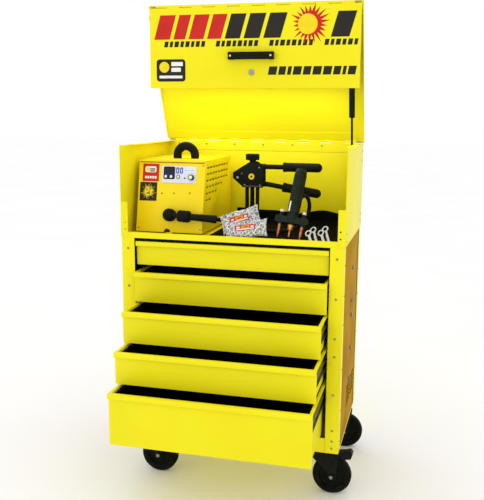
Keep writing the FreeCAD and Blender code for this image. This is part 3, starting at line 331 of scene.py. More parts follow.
# Screen-printed polyester film of the control panel: white with a cool tint, satin.
PANEL_FILM = Finish("printed_white_panel_film", "#E3E8F6", 0.3, second="#D8DFF2", patch_mm=35,
                    grain_mm=1.2, grain_height=0.01, uneven=0.04)
# The same film's dark blue ink.
NAVY_INK = Finish("navy_window_film", "#141E57", 0.22, second="#0F1746", patch_mm=12, grain_mm=1.2,
                  grain_height=0.01, uneven=0.04)
# Moulded dark blue ABS of the setting knob.
NAVY_PLASTIC = Finish("navy_moulded_plastic", "#141C44", 0.34, second="#101739", patch_mm=12,
                      grain_mm=1.2, grain_height=0.02, uneven=0.05)
# Pale screen-printed lines on the same film.
GREY_INK = Finish("pale_grey_ink", "#9AA2B8", 0.4, second="#929AB2", patch_mm=12, grain_mm=1.2,
                  grain_height=0.01, uneven=0.04)
# Painted shadow under the welder's lip: a thin brown line.
LIP_SHADOW_BROWN = Finish("painted_lip_shadow_brown", "#9A6A10", 0.6, second="#7E520C", patch_mm=14, grain_mm=2,
                    grain_height=0.03, uneven=0.06)
# Lit blue segments of the panel's two digits, behind a clear film.
DIGIT_INK = Finish("blue_led_segment", "#2A2AA8", 0.3, second="#3A2494", patch_mm=6, grain_mm=1,
                   grain_height=0.01, uneven=0.04)
# Moulded cream push buttons and knob cap with a polished top.
KEY_PLASTIC = Finish("cream_key_plastic", "#F6EFC0", 0.28, second="#EDE3A6", patch_mm=8, grain_mm=1,
                     grain_height=0.01, uneven=0.05)
# Vinyl decal inks, cut and laid on the paint.
RED_VINYL = Finish("red_vinyl", "#CE2019", 0.34, second="#C41B15", patch_mm=50, grain_mm=3,
                   grain_height=0.01, uneven=0.04)
BLACK_VINYL = Finish("black_vinyl", "#1E1A14", 0.34, second="#241F18", patch_mm=50, grain_mm=3,
                     grain_height=0.01, uneven=0.04)
WHITE_VINYL = Finish("white_vinyl", "#F2F1EC", 0.36, second="#E8E6E0", patch_mm=30, grain_mm=3,
                     grain_height=0.01, uneven=0.04)
ORANGE_VINYL = Finish("orange_vinyl", "#F0A21A", 0.34, second="#EA9612", patch_mm=30, grain_mm=3,
                      grain_height=0.01, uneven=0.04)
YELLOW_VINYL = Finish("yellow_vinyl", "#F6DC12", 0.34, second="#EFD20E", patch_mm=30, grain_mm=3,
                      grain_height=0.01, uneven=0.04)
# Blown polyethylene bag film: crumpled, with painted highlights white along each crease.
BAG_FILM = Film("crumpled_clear_bag_film", "#F7F8F7", 0.16, patch_mm=13, grain_height=0.3, clear=0.8)
# Shade between the studs deep in a bag.
STUD_SHADE = Finish("shade_between_studs", "#121310", 0.8, second="#1B1C19", patch_mm=10, grain_mm=2,
                    grain_height=0.05, uneven=0.08, sheen=0.2)
# White thumb screws in moulded nylon.
WHITE_NYLON = Finish("white_nylon", "#ECECE8", 0.4, second="#DEDED8", patch_mm=8, grain_mm=1.2,
                     grain_height=0.02, uneven=0.05)
# Poured and power-floated floor, painted white.
FLOOR_PAINT = Finish("pale_floor_paint", "#FFFFFF", 0.8, second="#FDFDFD", patch_mm=900, grain_mm=12,
                     grain_height=0.004, uneven=0.05)


# ---------------------------------------------------------------- modelling bench

def clear_selection() -> None:
    """Leaves nothing selected, because an operator acts on all that is."""
    if bpy.context.mode != "OBJECT":
        bpy.ops.object.mode_set(mode="OBJECT")
    bpy.ops.object.select_all(action="DESELECT")


def choose(obj: bpy.types.Object) -> None:
    """Makes obj the only selected and the active object."""
    clear_selection()
    obj.select_set(True)
    bpy.context.view_layer.objects.active = obj


def settle(obj: bpy.types.Object) -> bpy.types.Object:
    """Puts an object's place, turn and scale into its mesh."""
    choose(obj)
    bpy.ops.object.transform_apply(location=True, rotation=True, scale=True)
    return obj


def select_faces(obj: bpy.types.Object, chosen: Chooser) -> None:
    """Enters edit mode with the faces selected whose centre and normal chosen() accepts."""
    choose(obj)
    bpy.ops.object.mode_set(mode="EDIT")
    bpy.ops.mesh.select_mode(type="FACE")
    bpy.ops.mesh.select_all(action="DESELECT")
    mesh = bmesh.from_edit_mesh(obj.data)
    for face in mesh.faces:
        face.select = chosen(face.calc_center_median(), face.normal)
    mesh.select_flush_mode()
    bmesh.update_edit_mesh(obj.data)


def leave_edit() -> None:
    """Leaves edit mode."""
    bpy.ops.object.mode_set(mode="OBJECT")


def block(name: str, low: Point, high: Point) -> bpy.types.Object:
    """Cube primitive between two corners in cart millimetres, its place in its mesh.

    Args:
        name: the piece's name.
        low: lowest corner.
        high: highest corner.

    Returns:
        The new object.
    """
    a, b = at(*low), at(*high)
    clear_selection()
    bpy.ops.mesh.primitive_cube_add(size=1, location=(a + b) / 2)
    made = bpy.context.object
    made.name = name
    made.scale = b - a
    return settle(made)


def disc(name: str, middle: Point, radius: float, depth: float, axis: Point = (0, 0, 1),
         sides: int = 32, taper: float = 1.0) -> bpy.types.Object:
    """Round primitive whose base is at middle and which runs along axis.

    Args:
        name: the piece's name.
        middle: centre of its base, in cart millimetres.
        radius: base radius in millimetres.
        depth: length along the axis in millimetres.
        axis: direction in the row frame.
        sides: number of flats round it.
        taper: far radius as a share of the base radius.

    Returns:
        The new object, its place in its mesh.
    """
    along = Vector(axis).normalized()
    clear_selection()
    bpy.ops.mesh.primitive_cone_add(vertices=sides, radius1=radius / 1000,
                                    radius2=radius * taper / 1000, depth=depth / 1000)
    made = bpy.context.object
    made.name = name
    made.rotation_euler = along.to_track_quat("Z", "Y").to_euler()
    made.location = at(*middle) + along * depth / 2000
    return settle(made)


def ring(name: str, middle: Point, radius: float, thick: float, axis: Point,
         sides: int = 36) -> bpy.types.Object:
    """Torus primitive about a middle in cart millimetres."""
    clear_selection()
    bpy.ops.mesh.primitive_torus_add(major_radius=radius / 1000, minor_radius=thick / 1000,
                                     major_segments=sides, minor_segments=10)
    made = bpy.context.object
    made.name = name
    made.rotation_euler = Vector(axis).to_track_quat("Z", "Y").to_euler()
    made.location = at(*middle)
    return settle(made)


def modify(obj: bpy.types.Object, kind: str, **settings: object) -> bpy.types.Object:
    """Adds a modifier with its settings and applies it."""
    choose(obj)
    made = obj.modifiers.new(kind.title(), kind)
    for name, value in settings.items():
        setattr(made, name, value)
    bpy.ops.object.modifier_apply(modifier=made.name)
    return obj


def soften(obj: bpy.types.Object, width: float = 0.6, segments: int = 2,
           angle: float = 30.0) -> bpy.types.Object:
    """Rounds the sharp edges by a width in millimetres and shades the rest smooth."""
    modify(obj, "BEVEL", width=width / 1000, segments=segments, limit_method="ANGLE",
           angle_limit=math.radians(angle), harden_normals=False)
    choose(obj)
    bpy.ops.object.shade_smooth_by_angle(angle=math.radians(35))
    return obj


def join(name: str, pieces: Iterable[bpy.types.Object]) -> bpy.types.Object:
    """Joins pieces into one object with that name."""
    members = list(pieces)
    clear_selection()
    for member in members:
        member.select_set(True)
    bpy.context.view_layer.objects.active = members[0]
    if len(members) > 1:
        bpy.ops.object.join()
    made = bpy.context.object
    made.name = name
    return settle(made)


def dress(obj: bpy.types.Object, finish: Finish, body: str) -> bpy.types.Object:
    """Gives a finished piece its material and its body, and logs it."""
    obj.data.materials.clear()
    obj.data.materials.append(finish.build())
    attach(obj, body)
    log.info("%s: %d faces on %s", obj.name, len(obj.data.polygons), body)
    return obj


def round_corners(obj: bpy.types.Object, radius: float) -> None:
    """Rounds the four edges that run along Y by a radius in millimetres."""
    choose(obj)
    bpy.ops.object.mode_set(mode="EDIT")
    bpy.ops.mesh.select_mode(type="EDGE")
    bpy.ops.mesh.select_all(action="DESELECT")
    mesh = bmesh.from_edit_mesh(obj.data)
    for edge in mesh.edges:
        run = edge.verts[0].co - edge.verts[1].co
        edge.select = abs(run.y) > 0.9 * run.length
    mesh.select_flush_mode()
    bmesh.update_edit_mesh(obj.data)
    bpy.ops.mesh.bevel(offset=radius / 1000, segments=6, affect="EDGES")
    leave_edit()


def spike(plate: bpy.types.Object, middle: Vector, reach: Sequence[float]) -> None:
    """Pushes a flat disc's rim in and out, which makes a spark.

    Args:
        plate: a disc that faces along Y, with one side for each value of reach.
        middle: its centre in the row frame.
        reach: share of the radius for each corner in turn.
    """
    corners = len(reach)
    for vertex in plate.data.vertices:
        arm = vertex.co - middle
        n = round(math.atan2(arm.z, arm.x) / math.tau * corners) % corners
        vertex.co.x = middle.x + arm.x * reach[n]
        vertex.co.z = middle.z + arm.z * reach[n]


def repaint(finish: Finish, *nodes: str) -> None:
    """Gives CAD nodes that keep their own shape a finish."""
    for node in nodes:
        for place in frame["nodes"][node].material_slots:
            place.material = finish.build()


def paint_part(obj: bpy.types.Object, finish: Finish, chosen: Chooser) -> None:
    """Gives the faces that chosen() accepts a second finish.

    Args:
        obj: the piece, already dressed.
        finish: the second finish.
        chosen: takes a face's centre in cart millimetres and its normal.
    """
    obj.data.materials.append(finish.build())
    last = len(obj.data.materials) - 1
    for face in obj.data.polygons:
        if chosen(cart(face.center), face.normal):
            face.material_index = last


def folded(node: str, body: str, finish: Finish, width: float = 0.7) -> bpy.types.Object:
    """Copies a CAD node, rounds its edges as a press brake leaves them, and shows the copy instead.

    Args:
        node: the CAD node that the copy stands for.
        body: the body that it rides on.
        finish: its finish.
        width: the edge's radius in millimetres.

    Returns:
        The copy.
    """
    source = frame["nodes"][node]
    made = bpy.data.objects.new(node + "_shell", source.data.copy())
    bpy.context.scene.collection.objects.link(made)
    choose(made)
    bpy.ops.object.mode_set(mode="EDIT")
    bpy.ops.mesh.select_all(action="SELECT")
    bpy.ops.mesh.remove_doubles(threshold=0.00001)
    bpy.ops.mesh.dissolve_limited(angle_limit=math.radians(0.6))
    leave_edit()
    soften(made, width)
    dress(made, finish, body)
    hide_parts(node)
    return made


# ---------------------------------------------------------------- studio

@dataclass(frozen=True)
class Lamp:
    """A soft box: its place and target, width in metres, power in watts, height as a share of width."""

    name: str
    place: tuple[float, float, float]
    width: float
    power: float
    target: tuple[float, float, float] = (0.0, 0.0, 0.9)
    shape: float = 1.0


@dataclass
class Studio:
    """White floor, soft lights and the camera."""

    camera_place: tuple[float, float, float] = (673.6, -2433.6, 1357.9)
    pitch: float = 10.66
    yaw: float = 14.45
    roll: float = 0.36
    lens: float = 53.58
    floor_size: float = 60.0
    sky: float = 1.0
    lamps: tuple[Lamp, ...] = (
        Lamp("key", (-1.9, -3.6, 2.6), 2.4, 9),
        Lamp("fill", (0.5, -3.8, 1.5), 1.8, 4),
        Lamp("top", (0.2, -1.2, 4.0), 2.4, 4),
        Lamp("hutch", (0.0, 0.15, 1.41), 0.7, 1.3, (0.0, 0.3, 1.0), 0.14))

    def build(self) -> None:
        """Makes the whole studio."""
        self.make_camera()
        self.make_floor()
        self.make_lights()

    def make_camera(self) -> None:
        """Looks slightly down and to the left, from the right of the middle."""
        data = bpy.data.cameras.new("camera")
        camera = bpy.data.objects.new("camera", data)
        bpy.context.scene.collection.objects.link(camera)
        data.lens = self.lens
        data.clip_end = 100
        turn = (Matrix.Rotation(math.radians(self.yaw), 4, "Z")
                @ Matrix.Rotation(math.radians(90 - self.pitch), 4, "X")
                @ Matrix.Rotation(math.radians(self.roll), 4, "Z"))
        camera.matrix_world = Matrix.Translation(at(*self.camera_place)) @ turn
        bpy.context.scene.camera = camera

    def make_floor(self) -> None:
        """Adds the floor, which isn't part of the station."""
        clear_selection()
        bpy.ops.mesh.primitive_plane_add(size=self.floor_size, location=(0, 0, 0))
        floor = bpy.context.object
        floor.name = "floor"
        floor.data.materials.append(FLOOR_PAINT.build())

    def make_lights(self) -> None:
        """Adds a bright even sky, three large soft boxes and a small one over the hutch."""
        scene = bpy.context.scene
        scene.view_settings.view_transform = "Standard"
        world = bpy.data.worlds.new("studio")
        scene.world = world
        world.use_nodes = True
        background = world.node_tree.nodes["Background"]
        background.inputs[0].default_value = linear("#FFFFFF")
        background.inputs[1].default_value = self.sky
        for lamp in self.lamps:
            self.soft_box(lamp)

    def soft_box(self, lamp: Lamp) -> None:
        """Adds one area light that the camera doesn't see."""
        data = bpy.data.lights.new(lamp.name, "AREA")
        data.shape = "RECTANGLE"
        data.size = lamp.width
        data.size_y = lamp.width * lamp.shape
        data.energy = lamp.power
        made = bpy.data.objects.new(lamp.name, data)
        made.visible_camera = False
        made.location = lamp.place
        aim = Vector(lamp.target) - Vector(lamp.place)
        made.rotation_euler = aim.to_track_quat("-Z", "Y").to_euler()
        bpy.context.scene.collection.objects.link(made)


# ---------------------------------------------------------------- gun lead

@dataclass
class GunLead:
    """The gun's rubber lead, from the plug's boot behind the bags and up into the gun's back."""

    diameter: float = 0.014
    length: float = 0.496
    route: tuple[tuple[float, float, float], ...] = (
        (-0.09275, -0.0311, 0.97295), (-0.06875, -0.0051, 0.96695), (-0.03075, 0.0256, 0.9480),
        (0.01325, 0.0476, 0.9320), (0.06125, 0.0636, 0.9230), (0.11125, 0.0796, 0.9205),
        (0.15525, 0.0866, 0.9260), (0.18625, 0.0926, 0.9430), (0.20725, 0.0986, 0.9660),
        (0.21725, 0.1026, 0.9950), (0.22025, 0.1016, 1.0240), (0.21425, 0.0916, 1.0490),
        (0.20325, 0.0696, 1.0600), (0.1940, 0.0430, 1.0503))

    def build(self) -> bpy.types.Object:
        """Lays the lead as one smooth curve through its route."""
        data = bpy.data.curves.new("gun_lead", "CURVE")
        data.dimensions = "3D"
        data.bevel_depth = self.diameter / 2
        data.bevel_resolution = 6
        data.use_fill_caps = True
        spline = data.splines.new("NURBS")
        spline.points.add(len(self.route) - 1)
        for point, place in zip(spline.points, self.route):
            point.co = (*place, 1)
        spline.order_u = 3
        spline.use_endpoint_u = True
        spline.resolution_u = 12
        lead = bpy.data.objects.new("gun_lead", data)
        bpy.context.scene.collection.objects.link(lead)
        lead.data.materials.append(RUBBER.build())
        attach(lead, "cart")
        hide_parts("gun_cable")
        return lead


# ---------------------------------------------------------------- cart

@dataclass
class Cart:
    """Cabinet and hutch sheet metal, its inside painted black as shade, and the deck mat."""

    mat_left: float = -104.0
    mat_right: float = 371.0
    mat_front: float = 14.0
    mat_back: float = 506.0
    mat_curl: float = 42.0
    mat_thick: float = 1.4
    mat_bend: float = 18.0
    pan_rim: float = 50.0
    shells: tuple[str, ...] = ("corner_posts", "cabinet_side_left", "cabinet_side_right",
                               "cabinet_back", "cabinet_base", "work_deck", "hutch_side_left",
                               "hutch_side_right", "hutch_back")

    def build(self) -> None:
        """Makes and dresses the whole cart."""
        for node in self.shells:
            sides = node.startswith("cabinet_side")
            # The cabinet's side sheets get the darker golden copy of the yellow: painted shade.
            shell = folded(node, "cart", SHADED_SIDE_YELLOW if sides else CART_YELLOW)
            # Faces that look into the cabinet, the inside of its back and the deck's underside get black as
            # painted shade.
            if node in ("corner_posts", "cabinet_base") or sides:
                paint_part(shell, INSIDE_SHADE_BLACK, self.faces_in)
            elif node == "cabinet_back":
                paint_part(shell, INSIDE_SHADE_BLACK, lambda middle, normal: normal.y < -0.5)
            elif node == "work_deck":
                paint_part(shell, INSIDE_SHADE_BLACK, lambda middle, normal: middle.z < DECK_TOP - SKIN - 0.5)
        repaint(CART_YELLOW, "lid_hinge_fixed")
        repaint(ZINC, "frame_bolts")
        repaint(BLACK_STEEL, "caster_plates")
        repaint(SLIDE_STEEL, "slide_rails")
        self.lay_mat()

    def faces_in(self, middle: Vector, normal: Vector) -> bool:
        """Whether a face looks into the cabinet, where black is painted as shade."""
        low, high = box_of("corner_posts")
        if middle.z < low.z + 3:
            return False
        over_pan = middle.z > low.z + self.pan_rim
        inward = normal.x * middle.x < -0.4 * abs(middle.x) and middle.y > SKIN + 0.6 and over_pan
        behind = abs(normal.y) > 0.4 and SKIN - 0.1 < middle.y < high.y - SKIN + 0.1 and over_pan
        return inward or behind

    def rise(self, across: float) -> float:
        """How high the mat's rear edge stands, in millimetres, at a share of its width."""
        wave = math.sin(across * 9.0 + 0.6) * math.sin(across * 4.1)
        return self.mat_curl + 9 * wave + 5 * math.sin(across * 17 + 1.3)

    def lay_mat(self) -> None:
        """Lays the rubber mat, whose rear edge climbs the back sheet in uneven waves."""
        wide = self.mat_right - self.mat_left
        run = self.mat_back - self.mat_front
        bend = self.mat_bend
        flat_end, arc = run - bend, bend * math.pi / 2
        clear_selection()
        bpy.ops.mesh.primitive_grid_add(x_subdivisions=96, y_subdivisions=90, size=1)
        mat = bpy.context.object
        mat.name = "deck_mat"
        for vertex in mat.data.vertices:
            across, along = vertex.co.x + 0.5, vertex.co.y + 0.5
            x = self.mat_left + wide * across
            s = along * (run + self.rise(across))
            if s <= flat_end:
                y, z = s, 0.0
            elif s <= flat_end + arc:
                turn = (s - flat_end) / bend
                y, z = flat_end + bend * math.sin(turn), bend * (1 - math.cos(turn))
            else:
                y, z = run, bend + s - flat_end - arc
            ripple = 0.5 + 0.5 * noise.noise(Vector((x / 90, s / 70, 0.4)))
            z += 1.6 * ripple * (1 if s < flat_end else 0.2)
            y -= 3.0 * max(0.0, z / self.mat_curl) * (1 + math.sin(across * 21))
            vertex.co = at(x, self.mat_front + y, DECK_TOP + 0.2 + z)
        modify(mat, "SOLIDIFY", thickness=self.mat_thick / 1000, offset=1.0)
        choose(mat)
        bpy.ops.object.shade_smooth()
        dress(mat, MAT_RUBBER, "cart")


@dataclass
class Drawers:
    """Five drawers with their slides and black liners of painted shade."""

    wall: float = 1.2
    below_rim: float = 7.0
    slack: float = 0.2

    def build(self) -> None:
        """Dresses each drawer and lays its liner."""
        openings = {o["name"]: o["box_m"] for o in frame["record"]["physics"]["openings"]}
        for number in range(1, 6):
            body = f"drawer_{number}"
            folded(body, body, CART_YELLOW)
            repaint(SLIDE_STEEL, f"drawer_slides_{number}")
            self.line(body, openings[body + "_inside"])

    def line(self, body: str, inside: Sequence[Point]) -> None:
        """Lines a drawer with black painted shade that turns up its four sides.

        Args:
            body: the drawer's body and node name.
            inside: lowest and highest corner of its clear space, in metres.
        """
        low, high = cart(Vector(inside[0])), cart(Vector(inside[1]))
        liner = block(body + "_liner", low + Vector((self.slack, self.slack, 0.0)),
                      high - Vector((self.slack, self.slack, self.below_rim)))
        select_faces(liner, lambda middle, normal: normal.z > 0.9)
        bpy.ops.mesh.inset(thickness=0.012)
        bpy.ops.mesh.delete(type="FACE")
        leave_edit()
        modify(liner, "SOLIDIFY", thickness=self.wall / 1000, offset=-1.0)
        soften(liner, 0.4)
        # The liner's black is painted shade inside the drawer.
        dress(liner, DRAWER_SHADE_BLACK, body)


# ---------------------------------------------------------------- lid and flap

@dataclass
class Lid:
    """Lid, flap, pull handle, lock, strut and the flap's printed marks."""

    mark_thick: float = 0.25
    mark_lift: float = 0.02
    lean: float = 26.0
    dash_lean: float = 0.18
    band_low: float = 1616.0
    band_tall: float = 88.0
    red_bars: tuple[Point, ...] = ((-379, 62), (-303, 46), (-243, 58), (-171, 54))
    black_bars: tuple[Point, ...] = ((-103, 58), (-31, 60), (43, 64), (290, 66))
    spark_middle: tuple[float, float] = (214.0, 1664.0)
    spark_radius: float = 60.0
    spark_corners: int = 44
    spark_disc: tuple[float, float, float] = (206.0, 1662.0, 36.0)
    plate_low: tuple[float, float] = (-371.0, 1462.0)
    plate_size: tuple[float, float] = (115.0, 82.0)
    plate_disc: tuple[float, float, float] = (-340.0, 1515.0, 20.0)
    plate_bars: tuple[Point, ...] = ((-312, 1519, 46, 15), (-312, 1498, 38, 15), (-360, 1474, 92, 10))
    pull_foot: float = 18.0
    pull_wall: float = 17.0
    pull_screw_out: float = 76.0
    pin_out: float = 372.5
    pin_long: float = 22.0

    def __post_init__(self) -> None:
        """Finds the flap's face."""
        self.face = box_of("flap_panel")[0].y

    def build(self) -> None:
        """Makes and dresses the lid and all that hangs from it."""
        folded("lid_panel", "lid", CART_YELLOW)
        folded("flap_panel", "flap", CART_YELLOW, 0.5)
        repaint(CART_YELLOW, "lid_hinge_leaves")
        repaint(BLACK_STEEL, "strut_bracket")
        repaint(BLACK_NITRIDE, "strut_rod", "strut_cylinder")
        repaint(ZINC, "flap_lock")
        self.pull()
        self.marks()
        self.pins()

    def pull(self) -> None:
        """Black pull bar with softened edges and a bright screw at each end."""
        low, high = box_of("flap_pull")
        face, middle = high.y, (low.z + high.z) / 2
        bar = block("pull_bar", (low.x, low.y + 3, low.z), (high.x, face, high.z))
        select_faces(bar, lambda centre, normal: abs(normal.z) > 0.9)
        bpy.ops.mesh.subdivide(number_cuts=8)
        leave_edit()
        gap = block("gap", (low.x + self.pull_foot, face - self.pull_wall, low.z - 5),
                    (high.x - self.pull_foot, face + 5, high.z + 5))
        choose(bar)
        cutter = bar.modifiers.new("Gap", "BOOLEAN")
        cutter.object = gap
        cutter.solver = "EXACT"
        bpy.ops.object.modifier_apply(modifier=cutter.name)
        bpy.data.objects.remove(gap)
        soften(bar, 1.6, 3)
        dress(bar, BLACK_ABS, "flap")
        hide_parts("flap_pull")
        for side in Side:
            spot = (self.pull_screw_out * side.value, low.y + 3.2, middle)
            screw = disc(f"pull_screw_{side.label}", spot, 5.2, 2.6, (0, -1, 0), 28, 0.72)
            select_faces(screw, lambda centre, normal: normal.y < -0.9)
            bpy.ops.mesh.inset(thickness=0.0018)
            bpy.ops.mesh.extrude_region_move(TRANSFORM_OT_translate={"value": (0, 0.0011, 0)})
            leave_edit()
            soften(screw, 0.3)
            dress(screw, NICKEL, "flap")

    def chevron(self, name: str, x: float, low: float, tall: float, wide: float,
                finish: Finish) -> bpy.types.Object:
        """One slanted bar of cut vinyl on the flap's face.

        Args:
            name: the piece's name.
            x: left end of its lower edge.
            low: height of its lower edge.
            tall: height.
            wide: width along X.
            finish: the vinyl.

        Returns:
            The piece.
        """
        bar = self.vinyl(name, x, low, wide, tall)
        select_faces(bar, lambda centre, normal: normal.z > 0.9)
        bpy.ops.transform.translate(value=(self.lean * tall / 90 / 1000, 0, 0))
        leave_edit()
        soften(bar, 0.08, 1)
        return dress(bar, finish, "flap")

    def marks(self) -> None:
        """Bold slanted blocks in two colours, a spark, rows of dashes and a small plate: no lettering."""
        for colour, finish, bars in (("red", RED_VINYL, self.red_bars),
                                     ("black", BLACK_VINYL, self.black_bars)):
            for n, (x, wide) in enumerate(bars):
                self.chevron(f"flap_{colour}_block_{n}", x, self.band_low, self.band_tall, wide, finish)
        self.spark()
        self.row("flap_dash", -340, 1588, 21, (15, 12, 17, 13, 16, 12, 15, 14, -30), 33, 6.5)
        self.row("flap_code", 62, 1485, 30, (31, 26, 14, 30, 28, 31, 30, 26, 12, 28), 10, 7)
        self.small_plate()

    def vinyl(self, name: str, x: float, low: float, wide: float, tall: float) -> bpy.types.Object:
        """Thin upright patch on the flap's face, from its lower left corner and its size."""
        return block(name, (x, self.face - self.mark_thick, low),
                     (x + wide, self.face - self.mark_lift, low + tall))

    def small_plate(self) -> None:
        """Black plate with round corners, a yellow disc and three white bars."""
        (x, z), (wide, tall) = self.plate_low, self.plate_size
        front = self.face - 0.38
        plate = block("flap_plate", (x, self.face - 0.4, z),
                      (x + wide, self.face - self.mark_lift, z + tall))
        round_corners(plate, 12)
        dress(plate, BLACK_VINYL, "flap")
        x, z, radius = self.plate_disc
        badge = disc("flap_plate_disc", (x, front, z), radius, 0.25, (0, -1, 0), 36)
        dress(soften(badge, 0.08, 1), YELLOW_VINYL, "flap")
        for n, (x, z, wide, high) in enumerate(self.plate_bars):
            bar = block(f"flap_plate_bar_{n}", (x, self.face - 0.6, z), (x + wide, front, z + high))
            round_corners(bar, 2)
            dress(bar, WHITE_VINYL, "flap")

    def row(self, name: str, x: float, low: float, tall: float, widths: Sequence[float], count: int,
            gap: float) -> None:
        """A row of small slanted dashes.

        Args:
            name: the piece's name.
            x: left end.
            low: height of its lower edge.
            tall: height.
            widths: widths that repeat along the row; a negative one is a gap.
            count: how many dashes.
            gap: space between them.
        """
        dashes = []
        for n in range(count):
            wide = widths[n % len(widths)]
            if wide > 0:
                dash = self.vinyl("dash", x, low, wide, tall)
                select_faces(dash, lambda centre, normal: normal.z > 0.9)
                bpy.ops.transform.translate(value=(tall * self.dash_lean / 1000, 0, 0))
                leave_edit()
                dashes.append(dash)
            x += abs(wide) + gap
        dress(soften(join(name, dashes), 0.08, 1), BLACK_VINYL, "flap")

    def spark(self) -> None:
        """A red spark with long uneven points about a yellow disc."""
        x, z = self.spark_middle
        middle = (x, self.face - self.mark_lift, z)
        spark = disc("flap_spark", middle, self.spark_radius, self.mark_thick, (0, -1, 0),
                     self.spark_corners)
        rng = random.Random(5)
        reach = [rng.uniform(1.0, 1.3) if n % 2 else rng.uniform(0.62, 0.72)
                 for n in range(self.spark_corners)]
        spike(spark, at(*middle), reach)
        dress(spark, RED_VINYL, "flap")
        x, z, radius = self.spark_disc
        front = self.face - self.mark_thick - self.mark_lift
        plate = disc("flap_spark_disc", (x, front, z), radius, 0.2, (0, -1, 0), 40)
        dress(soften(plate, 0.06, 1), YELLOW_VINYL, "flap")

    def pins(self) -> None:
        """Bright ends of the two hinge pins, which reach past the knuckles."""
        rear_low, rear_high = box_of("lid_hinge_fixed")
        front = box_of("flap_panel")
        spots = (("cart", rear_low.y + 4, rear_high.z - 4), ("lid", front[0].y + 4, front[1].z - 4))
        for body, y, z in spots:
            for side in Side:
                tail = disc(f"{body}_hinge_pin_{side.label}", (self.pin_out * side.value, y, z), 2.2,
                            self.pin_long, (side.value, 0, 0), 16)
                soften(tail, 0.4)
                dress(tail, ZINC, body)


# ---------------------------------------------------------------- casters

@dataclass
class Casters:
    """Forks, wheels with the nuts on their axles, and the two brake pedals."""

    cheek: float = 13.0
    nut_radius: float = 7.0
    tread_ribs: int = 4
    rib_pitch: float = 5.5

    def build(self) -> None:
        """Dresses the four casters."""
        for name in CASTERS:
            folded(f"caster_fork_{name}", f"fork_{name}", BLACK_STEEL, 0.8)
            repaint(TYRE, f"caster_wheel_{name}")
            self.axle_ends(name)
            if name.startswith("front"):
                self.pedal(name)

    def axle_ends(self, name: str) -> None:
        """Bright hexagon nut with a raised face on each end of the axle."""
        low, high = box_of(f"caster_wheel_{name}")
        middle = (low + high) / 2
        parts = []
        for y, side in ((low.y - self.cheek, -1), (high.y + self.cheek, 1)):
            nut = disc("nut", (middle.x, y, middle.z), self.nut_radius, 3, (0, side, 0), 6)
            select_faces(nut, lambda centre, normal, s=side: normal.y * s > 0.9)
            bpy.ops.mesh.inset(thickness=0.003)
            bpy.ops.mesh.extrude_region_move(TRANSFORM_OT_translate={"value": (0, 0.0015 * side, 0)})
            leave_edit()
            soften(nut, 0.4)
            parts.append(nut)
        dress(join(f"axle_nuts_{name}", parts), ZINC, f"fork_{name}")

    def pedal(self, name: str) -> None:
        """Brake pedal with ribs across its tread."""
        node = f"caster_brake_{name}"
        body = f"brake_{name}"
        folded(node, body, BLACK_ABS, 1.5)
        low, high = box_of(node)
        ribs = []
        for n in range(self.tread_ribs):
            x = high.x - 26 + self.rib_pitch * n
            z = high.z - 6 + 1.1 * n
            rib = block("rib", (x, low.y + 3, z), (x + 2.2, high.y - 3, z + 3))
            ribs.append(soften(rib, 0.6))
        dress(join(f"pedal_ribs_{name}", ribs), BLACK_ABS, body)


# ---------------------------------------------------------------- welder

